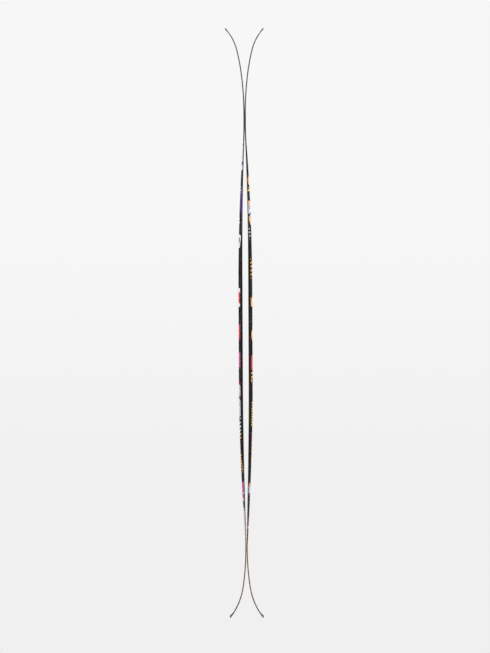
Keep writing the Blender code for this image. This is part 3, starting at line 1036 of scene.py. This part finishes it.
def makePlain(name):
    look = {**plainFinish, **plainFinish[name]}
    made, tree, position = newMaterial(name, look)
    patterns = {"grain": grainOn(tree, position, look["grain"]),
                "cloud": noise(tree, position, *look["cloud"])}
    return finishWith(made, look, mottled(tree, look, patterns["grain"], patterns["cloud"]),
                      [patterns[look["roughenedBy"]]], [patterns["grain"]])


woodFinish = {
    "planedPoplar": {
        "tones": [(0.0, (0.42, 0.29, 0.16, 1)), (0.5, (0.60, 0.45, 0.27, 1)),
                  (1.0, (0.70, 0.56, 0.37, 1))],
        "figure": {"Rings": 300.0, "Pores": 0.25}},
    "planedBeech": {
        "tones": [(0.0, (0.30, 0.16, 0.08, 1)), (0.6, (0.45, 0.26, 0.14, 1)),
                  (1.0, (0.55, 0.35, 0.21, 1))],
        "figure": {"Rings": 460.0, "Pores": 0.65}},
    "fixed": {"Specular IOR Level": 0.3},
    "poreTone": (0.10, 0.05, 0.025, 1),
    "rough": (0.5, 0.15),
    "bump": (0.3, 0.00006),
}


def makeWood(name):
    look = {**woodFinish, **woodFinish[name]}
    made, tree, position = newMaterial(name, look)
    ring, pore = useGroup(tree, woodFigure, {"Vector": position, **look["figure"]})
    colour = mixColours(tree, pore, colourRamp(tree, ring, look["tones"]), look["poreTone"])
    return finishWith(made, look, colour, [ring], [reckon(tree, "SUBTRACT", ring, pore)])


matFinish = {
    "fixed": {"Specular IOR Level": 0.4, "Coat Roughness": 0.25},
    "threads": 520.0,
    "strands": 380.0,
    "strandWidth": (0.10, 0.02),
    "mottle": 0.4,
    "tones": [(0.1, shade(120, 122, 112)), (0.6, shade(160, 160, 150)),
              (0.95, shade(205, 205, 196))],
    "coat": (0.1, 0.3),
    "rough": (0.42, 0.15),
    "bump": (0.4, 0.0001),
}


def makeBindingMat():
    look = matFinish
    made, tree, position = newMaterial("bindingMatGlass", look)
    thread, crossing = weaveOn(tree, position, look["threads"])
    strands = addNode(tree, "ShaderNodeTexVoronoi", {"Vector": position,
                                                     "Scale": look["strands"]},
                      feature="DISTANCE_TO_EDGE").outputs["Distance"]
    fibre = stepUp(tree, strands, *look["strandWidth"])
    tone = mixValues(tree, look["mottle"], thread, fibre)
    return finishWith(made, look, colourRamp(tree, tone, look["tones"]), [fibre], [tone],
                      **{"Coat Weight": addUp(tree, look["coat"], crossing)})


guardFinish = {
    "fixed": {"Specular IOR Level": 0.3},
    "pebbles": 1900.0,
    "cloud": (120.0, 3.0),
    "mottle": 0.6,
    "tones": [(0.2, shade(16, 16, 17)), (0.8, shade(31, 31, 33))],
    "wear": {"Amount": 0.4, "Scale": 900.0},
    "worn": (0.6, shade(96, 96, 98)),
    "rough": (0.42, 0.2),
    "relief": (-0.8,),
    "bump": (0.5, 0.00006),
}


def makeGuardPlastic():
    look = guardFinish
    made, tree, position = newMaterial("tailGuardPlastic", look)
    pebbles = addNode(tree, "ShaderNodeTexVoronoi", {"Vector": position,
                                                     "Scale": look["pebbles"]})
    pebbles = pebbles.outputs["Distance"]
    cloud = noise(tree, position, *look["cloud"])
    worn = wearOn(tree, position, look["wear"])
    colour = laidOver(tree, worn, mottled(tree, look, pebbles, cloud), *look["worn"])
    return finishWith(made, look, colour, [cloud], [pebbles, worn])


rivetFinish = {
    "fixed": {"Specular IOR Level": 0.5, "Metallic": 1.0},
    "turning": {"Scale": 3800.0, "Contrast": 1.6},
    "tones": [(0.2, (0.33, 0.33, 0.34, 1)), (0.8, (0.62, 0.62, 0.63, 1))],
    "rough": (0.24, 0.2),
    "bump": (0.3, 0.00003),
}


def makeRivetMetal():
    made, tree, position = newMaterial("rivetAluminium", rivetFinish)
    turning = grainOn(tree, position, rivetFinish["turning"])
    colour = colourRamp(tree, turning, rivetFinish["tones"])
    return finishWith(made, rivetFinish, colour, [turning], [turning])


looks = {
    "leftTopsheet": makeTopsheet("left"),
    "rightTopsheet": makeTopsheet("right"),
    "steel": makeSteel(),
    "sidewall": makeSidewall(),
    "sole": makeSole(),
    "laminate": makeLaminate(),
    "rubber": makePlain("dampingRubber"),
    "poplar": makeWood("planedPoplar"),
    "beech": makeWood("planedBeech"),
    "spacer": makePlain("spacerSheet"),
    "bindingMat": makeBindingMat(),
    "guard": makeGuardPlastic(),
    "rivet": makeRivetMetal(),
}
print("finishes built:", len(looks))


# Lofted layers

def loftPiece(name, rings, look):
    # rings of (point, (u, v), rim, blade), closed round, the nearest to the tip first
    mesh = bmesh.new()
    uvLayer = mesh.loops.layers.uv.new("wrap")
    rimLayer = mesh.verts.layers.float.new("rim")
    bladeLayer = mesh.verts.layers.float.new("blade")
    vertRings = []
    for ring in rings:
        verts = []
        for place, _, rim, blade in ring[:-1]:
            vert = mesh.verts.new(place)
            vert[rimLayer] = rim
            vert[bladeLayer] = blade
            verts.append(vert)
        vertRings.append(verts)
    count = len(vertRings[0])

    def addFace(verts, wraps):
        for corner, wrap in zip(mesh.faces.new(verts).loops, wraps):
            corner[uvLayer].uv = wrap

    for number, (near, far) in enumerate(zip(vertRings, vertRings[1:])):
        wraps, farWraps = ([point[1] for point in ring] for ring in rings[number:number + 2])
        for here in range(count):
            there = (here + 1) % count
            addFace((near[here], near[there], far[there], far[here]),
                    (wraps[here], wraps[here + 1], farWraps[here + 1], farWraps[here]))
    for ring, verts in ((rings[0], vertRings[0]), (rings[-1], vertRings[-1])):
        if len({tuple(round(value, 7) for value in vert.co) for vert in verts}) == count:
            addFace(verts, [point[1] for point in ring])
    bmesh.ops.remove_doubles(mesh, verts=mesh.verts, dist=fineness["weld"])
    bmesh.ops.dissolve_degenerate(mesh, edges=mesh.edges, dist=fineness["sliver"])
    bmesh.ops.recalc_face_normals(mesh, faces=mesh.faces)
    return finishMesh(name, mesh, look)


def newObject(name, data):
    made = bpy.data.objects.new(name, data)
    bpy.context.scene.collection.objects.link(made)
    return made


def finishMesh(name, mesh, look):
    data = bpy.data.meshes.new(name)
    mesh.to_mesh(data)
    mesh.free()
    data.materials.append(look)
    data.shade_smooth()
    data.set_sharp_from_angle(angle=math.radians(fineness["sharpAngle"]))
    return newObject(name, data)


def bladeShare(side, length):
    # 1 at the thin ends, 0 where the print comes down the side
    first, last = topsheetFinish[side]["printed"]
    tipFade, tailFade = topsheetFinish["printFade"]
    front = 1 - smoothStep((length - first + tipFade) / tipFade)
    rear = smoothStep((length - last) / tailFade)
    return max(front, rear)


def closedRing(side, length, places, travelled, way, blade):
    # places: (point, rim), to which the way round the layer so far is added
    ring = []
    previous = places[0][0]
    for place, rim in places + places[:1]:
        travelled += way * math.dist(place, previous)
        previous = place
        ring.append((toWorld(side, place), (arcAt(length), travelled), rim, blade))
    return ring


def sectionPlaces(section, length, start, end):
    # a section is a list of (inset, height, rim)
    cut = isCut(length, start, end)
    return [(outlinePoint(length, inset, height, cut), rim)
            for inset, height, rim in section(length)]


def spanPiece(name, side, section, start, end, look):
    # a layer that spans the ski: its section is one half, from rim to middle, mirrored over
    rings = []
    for length in stations(start, end):
        half = sectionPlaces(section, length, start, end)
        places = half + [((x, -y, z), rim) for (x, y, z), rim in reversed(half)]
        blade = bladeShare(side, length)
        rings.append(closedRing(side, length, places, half[0][0][1], -1, blade))
    return loftPiece(name, rings, look)


def sidePiece(name, side, ySide, section, start, end, look):
    # a layer that runs along one side of the ski
    rings = []
    for length in stations(start, end):
        places = [((x, ySide * max(y, layup["butt"] / 2), z), rim)
                  for (x, y, z), rim in sectionPlaces(section, length, start, end)]
        rings.append(closedRing(side, length, places, 0.0, 1, 0.0))
    return loftPiece(name, rings, look)


def fillet(first, corner, last, radius, steps):
    # rounded corner between two straight runs of (inset, height, rim)
    one = Vector((first[0] - corner[0], first[1] - corner[1]))
    two = Vector((last[0] - corner[0], last[1] - corner[1]))
    turn = one.angle(two)
    most = fineness["filletShare"]
    cut = min(radius / math.tan(turn / 2), one.length * most, two.length * most)
    start = Vector(corner[:2]) + one.normalized() * cut
    stop = Vector(corner[:2]) + two.normalized() * cut
    rounded = []
    for step in range(steps + 1):
        share = step / steps
        low = start.lerp(Vector(corner[:2]), share)
        high = Vector(corner[:2]).lerp(stop, share)
        place = low.lerp(high, share)
        rounded.append((place.x, place.y, corner[2]))
    return rounded


def shellTop(length, depth):
    run = (thickness(length) - sideHeight(length)) / math.tan(bevel)
    inset = layup["sideInset"] + run + depth * math.tan(bevel / 2)
    return inset, thickness(length) - depth


def shellRim(length, depth):
    return layup["sideInset"] + depth / math.sin(bevel), sideHeight(length)


shoulder = {"radius": 0.0045, "steps": 5, "rimRound": 0.00012, "rimSteps": 2,
            "flat": 0.010, "rimFade": 0.35}


def topsheetSection(length):
    depth = layup["topsheet"]
    rim = (*shellRim(length, 0.0), 1.0)
    corner = (*shellTop(length, 0.0), 0.0)
    flat = (corner[0] + shoulder["flat"], corner[1], 0.0)
    under = (*shellRim(length, depth), 1.0)
    crown = fillet(rim, corner, flat, shoulder["radius"], shoulder["steps"])
    crown = [(inset, height, shoulder["rimFade"] * (1 - number / shoulder["steps"]))
             for number, (inset, height, _) in enumerate(crown)]
    lip = fillet(under, rim, corner, shoulder["rimRound"], shoulder["rimSteps"])
    return [(*shellTop(length, depth), 1.0), under] + lip + crown


def sheetSection(upper, lower):
    def section(length):
        return [(*shellTop(length, lower), 0.0), (*shellRim(length, lower), 0.0),
                (*shellRim(length, upper), 0.0), (*shellTop(length, upper), 0.0)]
    return section


def soleSection(length):
    inset = layup["edgeWidth"] + layup["bond"]
    small = layup["soleBevel"]
    crownInset, crown = layup["soleCrown"]
    return [(anchorEnd + layup["bond"], layup["base"], 0.0), (inset, layup["base"], 0.0),
            (inset, small, 1.0), (inset + small, 0.0, 1.0),
            (inset + layup["soleFlat"], 0.0, 0.0), (crownInset, -crown, 0.0)]


def lowerSheetSection(length):
    step = anchorEnd + layup["bond"]
    side = layup["sideInset"]
    start, end = layup["glueFillet"]
    return [(side + end, bodyBottom + layup["glueLeft"], 0.0), (side + start, laminateTop, 0.0),
            (side, laminateTop, 0.0), (side, laminateBottom, 0.0), (step, laminateBottom, 0.0),
            (step, anchorBottom, 0.0)]


def bodySide(length):
    ledge = sideHeight(length) - layup["bond"]
    side = layup["sideInset"]
    return [(side, bodyBottom, sidewallBand["footRim"]), (side, ledge, 1.0),
            (shellRim(length, bodyDepth)[0], ledge, 1.0), (*shellTop(length, bodyDepth), 0.0)]


sidewallInner = max(shellTop(length, bodyDepth)[0] for length in
                    stations(layup["coreFront"], layup["coreRear"])) + sidewallBand["land"]


def sidewallSection(length):
    top = thickness(length) - bodyDepth
    return bodySide(length) + [(sidewallInner, top, 0.0), (sidewallInner, bodyBottom, 0.0)]


tailGuard = {
    "length": 0.014,
    "thickness": (0.0003, 0.0010),  # at its front and at the tail
    "inset": 0.0020,
    "round": (0.00035, 4),
    "flat": (0.004, 0.005),
    "lip": (0.0050, 0.0012),  # reach and height of the turned-up end
    "lipPower": 1.6,
    "rivets": 2,
    "rivetSpacing": 0.022,
    "rivetRadius": 0.0019,
    "rivetHeight": 0.0006,
    "rivetFromTail": 0.0085,
    "rivetFineness": (28, 16),  # round the head, and over it
}


def guardTop(length):
    front, end = tailGuard["thickness"]
    fromTail = ski["length"] - length
    wedge = end + (front - end) * fromTail / tailGuard["length"]
    lip = rise(fromTail, tailGuard["lip"], tailGuard["lipPower"])
    return thickness(length) + layup["bond"] + wedge + lip


def guardSection(length):
    bottom = thickness(length) + layup["bond"]
    top = guardTop(length)
    inset = tailGuard["inset"]
    near, far = tailGuard["flat"]
    corner = fillet((inset, bottom, 1.0), (inset, top, 1.0), (inset + near, top, 0.0),
                    *tailGuard["round"])
    return [(inset, bottom, 1.0)] + corner + [(inset + far, top, 0.0)]


# Steel edges and their damping foil: one profile drawn along the outline by Geometry Nodes

steelEdge = {
    "cornerRadius": 0.00014,
    "foilRadius": 0.00003,
    "cornerSteps": 2,
    "seam": layup["butt"],
    "wrapStep": 0.0006,  # about how far apart the profile's points are, for the pattern
    "weld": 3e-7,
}


def geometry(tree, kind, inputs=None, output=0, **settings):
    return addNode(tree, "GeometryNode" + kind, inputs, **settings).outputs[output]


def endTree(tree, entry, out, shape):
    real = geometry(tree, "RealizeInstances", {"Geometry": shape})
    painted = geometry(tree, "SetMaterial", {"Geometry": real, "Material": entry["Finish"]})
    feed(tree, out, {"Piece": painted})
    return tree


def makeSweepTree():
    tree, entry, out = newGroup("sweepAlongOutline", {
        "Path": "Geometry", "Profile": "Object", "Corner radius": 0.0001, "Corner steps": 2,
        "Side": 1.0, "Seam": 0.0003, "Finish": "Material"}, {"Piece": "Geometry"},
        "GeometryNodeTree")

    # the profile, with its corners rounded
    shape = geometry(tree, "ObjectInfo", {"Object": entry["Profile"]}, "Geometry")
    rounded = geometry(tree, "FilletCurve", {
        "Curve": geometry(tree, "MeshToCurve", {"Mesh": shape}), "Limit Radius": True,
        "Count": entry["Corner steps"], "Radius": entry["Corner radius"]}, mode="POLY")
    ring = geometry(tree, "CurveToMesh", {"Curve": rounded})
    ringCount, pathCount = (
        geometry(tree, "AttributeDomainSize", {"Geometry": shape}, "Point Count",
                 component="MESH") for shape in (ring, entry["Path"]))

    # one row of points for each place on the path, and one column more than the profile has
    columns = reckon(tree, "ADD", ringCount, 1.0)
    sheet = geometry(tree, "MeshGrid", {"Vertices X": pathCount, "Vertices Y": columns})
    index = geometry(tree, "InputIndex")
    row = reckon(tree, "FLOOR", reckon(tree, "DIVIDE", index, columns))
    column = reckon(tree, "FLOORED_MODULO", index, columns)
    wrapped = reckon(tree, "FLOORED_MODULO", column, ringCount)

    def sample(shape, value, index, kind="FLOAT_VECTOR"):
        return geometry(tree, "SampleIndex", {"Geometry": shape, "Value": value, "Index": index},
                        data_type=kind)

    def named(label, kind="FLOAT_VECTOR"):
        return geometry(tree, "InputNamedAttribute", {"Name": label}, "Attribute",
                        data_type=kind)

    place = geometry(tree, "InputPosition")
    moved = sample(entry["Path"], place, row)
    parts = partsOf(tree, sample(ring, place, wrapped))
    for part, label in (("X", "inwards"), ("Y", "upwards")):
        direction = sample(entry["Path"], named(label), row)
        step = vectorMath(tree, "SCALE", {"Vector": direction, "Scale": parts[part]})
        moved = vectorMath(tree, "ADD", {0: moved, 1: step})

    # the two edges of a ski stop either side of a thin seam at tip and tail
    parts = partsOf(tree, moved)
    own = reckon(tree, "MULTIPLY", parts["Y"], entry["Side"])
    held = reckon(tree, "MAXIMUM", own, reckon(tree, "MULTIPLY", entry["Seam"], 0.5))
    back = reckon(tree, "MULTIPLY", held, entry["Side"])
    placed = geometry(tree, "SetPosition", {
        "Geometry": sheet,
        "Position": joined(tree, {"X": parts["X"], "Y": back, "Z": parts["Z"]})})

    travelled = sample(entry["Path"], named("travelled", "FLOAT"), row, "FLOAT")
    around = reckon(tree, "MULTIPLY", column, steelEdge["wrapStep"])
    stored = geometry(tree, "StoreNamedAttribute", {
        "Geometry": placed, "Name": "wrap", "Value": joined(tree, {"X": travelled, "Y": around})},
        data_type="FLOAT2", domain="CORNER")
    merged = geometry(tree, "MergeByDistance", {"Geometry": stored,
                                                "Distance": steelEdge["weld"]})
    return endTree(tree, entry, out, merged)


def bakeNodes(carrier, tree, values):
    # the evaluated result as a plain mesh of its own
    modifier = carrier.modifiers.new("nodes", "NODES")
    modifier.node_group = tree
    for item in tree.interface.items_tree:
        if item.in_out == "INPUT" and item.name in values:
            modifier[item.identifier] = values[item.name]
    carrier.update_tag()
    bpy.context.view_layer.update()
    evaluated = carrier.evaluated_get(bpy.context.evaluated_depsgraph_get())
    baked = bpy.data.meshes.new_from_object(evaluated)
    carrier.modifiers.remove(modifier)
    mesh = bmesh.new()
    mesh.from_mesh(baked)
    bpy.data.meshes.remove(baked)
    return mesh


def linkMesh(name, points, edges):
    data = bpy.data.meshes.new(name)
    data.from_pydata(points, edges, [])
    return newObject(name, data)


def outlinePath(side, ySide):
    # the outline on the base, with its inward and upward directions at each point
    points, inwards, upwards, travelled = [], [], [], []
    small = 1e-4

    def pointAt(length, inset, height):
        x, y, z = outlinePoint(length, inset, height)
        return Vector(toWorld(side, (x, ySide * y, z)))

    for length in stations(0.0, ski["length"]):
        start = pointAt(length, 0.0, 0.0)
        points.append(start)
        inwards.append((pointAt(length, small, 0.0) - start).normalized())
        upwards.append((pointAt(length, 0.0, small) - start).normalized())
        travelled.append(arcAt(length))
    path = linkMesh("outlinePath", points, [(n, n + 1) for n in range(len(points) - 1)])
    for label, kind, field, values in (("inwards", "FLOAT_VECTOR", "vector", inwards),
                                       ("upwards", "FLOAT_VECTOR", "vector", upwards),
                                       ("travelled", "FLOAT", "value", travelled)):
        layer = path.data.attributes.new(label, kind, "POINT")
        for item, value in zip(layer.data, values):
            setattr(item, field, value)
    return path


edgeProfile = [(0.0, 0.0), (layup["edgeWidth"], 0.0), (layup["edgeWidth"], anchorBottom),
               (anchorEnd, anchorBottom), (anchorEnd, edgeTop), (0.0, edgeTop)]
rubberProfile = [(layup["sideInset"], rubberBottom), (anchorEnd, rubberBottom),
                 (anchorEnd, rubberTop), (layup["sideInset"], rubberTop)]


def sweptPiece(name, side, ySide, profile, radius, look):
    path = outlinePath(side, ySide)
    count = len(profile)
    shape = linkMesh("profile", [(x, y, 0.0) for x, y in profile],
                     [(n, (n + 1) % count) for n in range(count)])
    worldSide = -ySide if side == "left" else ySide
    mesh = bakeNodes(path, sweepTree, {
        "Profile": shape, "Corner radius": radius, "Corner steps": steelEdge["cornerSteps"],
        "Side": float(worldSide), "Seam": steelEdge["seam"], "Finish": look})
    bpy.data.objects.remove(path)
    bpy.data.objects.remove(shape)
    bmesh.ops.holes_fill(mesh, edges=[edge for edge in mesh.edges if edge.is_boundary], sides=0)
    bmesh.ops.recalc_face_normals(mesh, faces=mesh.faces)
    return finishMesh(name, mesh, look)


def makeRivetTree():
    tree, entry, out = newGroup("rivetRow", {
        "Start": "Geometry", "Count": 2, "Spacing": 0.022, "Head radius": 0.002,
        "Head height": 0.0006, "Middle": "Vector", "Turn": "Vector", "Finish": "Material"},
        {"Piece": "Geometry"}, "GeometryNodeTree")
    gaps = reckon(tree, "SUBTRACT", entry["Count"], 1.0)
    width = reckon(tree, "MULTIPLY", gaps, entry["Spacing"])
    row = geometry(tree, "MeshLine", {
        "Count": entry["Count"], "Offset": joined(tree, {"Y": entry["Spacing"]}),
        "Start Location": joined(tree, {"Y": reckon(tree, "MULTIPLY", width, -0.5)})})
    segments, rings = tailGuard["rivetFineness"]
    ball = geometry(tree, "MeshUVSphere", {"Segments": segments, "Rings": rings, "Radius": 1.0})
    size = joined(tree, {"X": entry["Head height"], "Y": entry["Head radius"],
                         "Z": entry["Head radius"]})
    head = geometry(tree, "Transform", {"Geometry": ball, "Scale": size})
    heads = geometry(tree, "InstanceOnPoints", {"Points": row, "Instance": head})
    placed = geometry(tree, "Transform", {
        "Geometry": heads, "Translation": entry["Middle"], "Rotation": entry["Turn"]})
    return endTree(tree, entry, out, placed)


sweepTree = makeSweepTree()
rivetTree = makeRivetTree()
print("geometry node trees built")


def guardRivets(name, side, look):
    # heads sit half sunk on the guard, square to its curved face
    fromTip = ski["length"] - tailGuard["rivetFromTail"]
    height = guardTop(fromTip)
    middle, above = (Vector(toWorld(side, surfacePoint(fromTip, 0.0, height + step)))
                     for step in (0.0, 0.001))
    outwards = (above - middle).normalized()
    turn = math.atan2(-outwards.z, outwards.x)
    carrier = linkMesh("rivetStart", [(0.0, 0.0, 0.0)], [])
    mesh = bakeNodes(carrier, rivetTree, {
        "Count": tailGuard["rivets"], "Spacing": tailGuard["rivetSpacing"],
        "Head radius": tailGuard["rivetRadius"], "Head height": tailGuard["rivetHeight"],
        "Middle": tuple(middle), "Turn": (0.0, turn, 0.0), "Finish": look})
    bpy.data.objects.remove(carrier)
    return finishMesh(name, mesh, look)


def fitOn(side, piece, slot, *nodes):
    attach(piece, side + "_ski")
    if nodes:
        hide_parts(*(side + "_ski_" + node for node in nodes))


def dressSki(side):
    whole = ski["length"]
    tipEnd = layup["coreFront"] - layup["butt"]
    tailStart = layup["coreRear"] + layup["butt"]

    def spanOn(name, section, start, end, look, slot, node):
        piece = spanPiece(side + "_" + name, side, section, start, end, looks[look])
        fitOn(side, piece, slot, node)

    spanOn("topsheet_skin", topsheetSection, 0.0, whole, side + "Topsheet", side + "_topsheet",
           "topsheet")
    spanOn("upper_cloth", sheetSection(overDepth, underDepth), 0.0, whole, "laminate",
           "glass_laminate", "upper_laminate")
    spanOn("lower_cloth", lowerSheetSection, 0.0, whole, "laminate", "glass_laminate",
           "lower_laminate")
    spanOn("sole", soleSection, 0.0, whole, "sole", "sintered_base", "running_base")
    spanOn("tip_sheet", bodySide, 0.0, tipEnd, "spacer", "spacer_plastic", "tip_spacer")
    spanOn("tail_sheet", bodySide, tailStart, whole, "spacer", "spacer_plastic", "tail_spacer")
    for where, ySide in skiSides(side).items():
        label = side + "_" + where
        piece = sweptPiece(label + "_steel", side, ySide, edgeProfile,
                           steelEdge["cornerRadius"], looks["steel"])
        fitOn(side, piece, "edge_steel", where + "_edge")
        piece = sweptPiece(label + "_foil", side, ySide, rubberProfile,
                           steelEdge["foilRadius"], looks["rubber"])
        fitOn(side, piece, "edge_rubber", where + "_edge_rubber")
        piece = sidePiece(label + "_wall", side, ySide, sidewallSection, layup["coreFront"],
                          layup["coreRear"], looks["sidewall"])
        fitOn(side, piece, "sidewall_abs", where + "_sidewall")
    spanOn("tail_guard", guardSection, whole - tailGuard["length"], whole, "guard",
           "protector_plastic", "tail_protector")
    fitOn(side, guardRivets(side + "_guard_rivets", side, looks["rivet"]), "edge_steel")
    print(side, "ski dressed")


for side in ("left", "right"):
    dressSki(side)

# The wood core and the binding mat keep their own solids and get their finish
for name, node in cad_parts.items():
    if "core_strip" in name:
        look = looks["beech"] if name[-1] in "24" else looks["poplar"]
    elif "binding_mat" in name:
        look = looks["bindingMat"]
    else:
        continue
    node.data.materials.clear()
    node.data.materials.append(look)
print("core and mats finished")


# Stage: a pale floor inside a wide round wall, four tall soft lights and one overhead

stage = {
    "floorHeight": -0.8702,
    "floorRadius": 7.99,
    "wallRadius": 8.0,
    "wallBottom": -3.0,
    "wallTop": 6.0,
    "high": shade(247, 247, 247),
    "low": shade(240, 240, 240),
    "fade": (-0.60, 0.50),  # between these heights the wall goes from low to high
    "floorGlow": 0.985,
    "bounce": 0.16,  # how bright the wall is for everything but the camera
    "floorTones": ((0.045, 0.045, 0.045, 1), (0.055, 0.055, 0.055, 1)),
    "mottle": (1.4, 3.0),
    "sides": 96,
}


def stageMaterial(name):
    made = bpy.data.materials.new(name)
    made.use_nodes = True
    tree = made.node_tree
    tree.nodes.clear()
    out = addNode(tree, "ShaderNodeOutputMaterial")
    return made, tree, out


def glowOf(tree, colour, brightness):
    # as bright as asked for the camera, and dimmer for everything it lights
    seen = addNode(tree, "ShaderNodeLightPath").outputs["Is Camera Ray"]
    strength = mixValues(tree, seen, stage["bounce"], brightness)
    return addNode(tree, "ShaderNodeEmission", {"Color": colour, "Strength": strength}).outputs[0]


def makeWallMaterial():
    made, tree, out = stageMaterial("paleWall")
    share = stepUp(tree, partsOf(tree, ownPosition(tree))["Z"], *stage["fade"])
    colour = mixColours(tree, share, stage["low"], stage["high"])
    feed(tree, out, {"Surface": glowOf(tree, colour, 1.0)})
    return made


def makeFloorMaterial():
    made, tree, out = stageMaterial("paleFloor")
    mottle = noise(tree, ownPosition(tree), *stage["mottle"])
    colour = mixColours(tree, mottle, *stage["floorTones"])
    rough = addNode(tree, "ShaderNodeBsdfDiffuse", {"Color": colour}).outputs[0]
    glow = glowOf(tree, stage["low"], stage["floorGlow"])
    both = addNode(tree, "ShaderNodeAddShader", {0: rough, 1: glow}).outputs[0]
    feed(tree, out, {"Surface": both})
    return made


def roundOf(mesh, radius, height):
    turns = [2 * math.pi * number / stage["sides"] for number in range(stage["sides"])]
    return [mesh.verts.new((radius * math.cos(turn), radius * math.sin(turn), height))
            for turn in turns]


def makeWall():
    mesh = bmesh.new()
    low, high = (roundOf(mesh, stage["wallRadius"], stage[height])
                 for height in ("wallBottom", "wallTop"))
    for here in range(stage["sides"]):
        there = (here + 1) % stage["sides"]
        mesh.faces.new((low[there], low[here], high[here], high[there]))
    mesh.faces.new(list(reversed(high)))
    finishMesh("round_wall", mesh, makeWallMaterial())


def makeFloor():
    mesh = bmesh.new()
    mesh.faces.new(roundOf(mesh, stage["floorRadius"], stage["floorHeight"]))
    finishMesh("pale_floor", mesh, makeFloorMaterial())


lights = {
    "distance": 3.6,
    "height": 0.80,
    "aimHeight": 0.10,
    "width": 0.9,
    "tall": 2.8,
    "turns": (60, 120, 240, 300),  # degrees round the pair, 0 is the camera's side
    "power": (100.0, 58.0, 58.0, 100.0),
    "middle": 0.02,  # the world's X in the middle of the pair
    "overheadPower": 40.0,
    "overheadPlace": (0.02, -0.1, 2.6),
    "overheadSize": 1.6,
}


def makeLight(name, stand, aim, width, tall, power):
    data = bpy.data.lights.new(name, "AREA")
    data.shape = "RECTANGLE"
    data.size = width
    data.size_y = tall
    data.energy = power
    made = newObject(name, data)
    made.location = stand
    made.rotation_euler = (Vector(aim) - Vector(stand)).to_track_quat("-Z", "Y").to_euler()
    made.visible_camera = False


def makeLights():
    aim = (lights["middle"], 0.0, lights["aimHeight"])
    for number, (turn, power) in enumerate(zip(lights["turns"], lights["power"])):
        angle = math.radians(turn)
        stand = (lights["distance"] * math.sin(angle), -lights["distance"] * math.cos(angle),
                 lights["height"])
        makeLight(f"tall_soft_{number + 1}", stand, aim, lights["width"], lights["tall"], power)
    makeLight("overhead_soft", lights["overheadPlace"], (lights["middle"], 0.0, 0.0),
              lights["overheadSize"], lights["overheadSize"], lights["overheadPower"])


makeWall()
makeFloor()
makeLights()
world = bpy.data.worlds.new("paleRoom")
bpy.context.scene.world = world
world.use_nodes = True
backdrop = world.node_tree.nodes["Background"].inputs
backdrop["Color"].default_value = stage["low"]
backdrop["Strength"].default_value = stage["bounce"]
bpy.context.scene.view_settings.view_transform = "Standard"
print("stage set")

camera = {
    "metresPerPixel": 0.003015,
    "imageHeight": 653,
    "middle": (0.01939, 0.0093),  # the world's X and Z at the middle of the picture
    "distance": 6.0,
    "clip": (0.1, 40.0),
    "lean": 0.249,  # degrees that the pair leans to the left in the picture
}


def makeCamera():
    data = bpy.data.cameras.new("camera")
    data.type = "ORTHO"
    data.ortho_scale = camera["metresPerPixel"] * camera["imageHeight"]
    data.clip_start, data.clip_end = camera["clip"]
    made = newObject("camera", data)
    made.location = (camera["middle"][0], -camera["distance"], camera["middle"][1])
    made.rotation_euler = (math.radians(90), math.radians(camera["lean"]), 0.0)
    bpy.context.scene.camera = made


makeCamera()
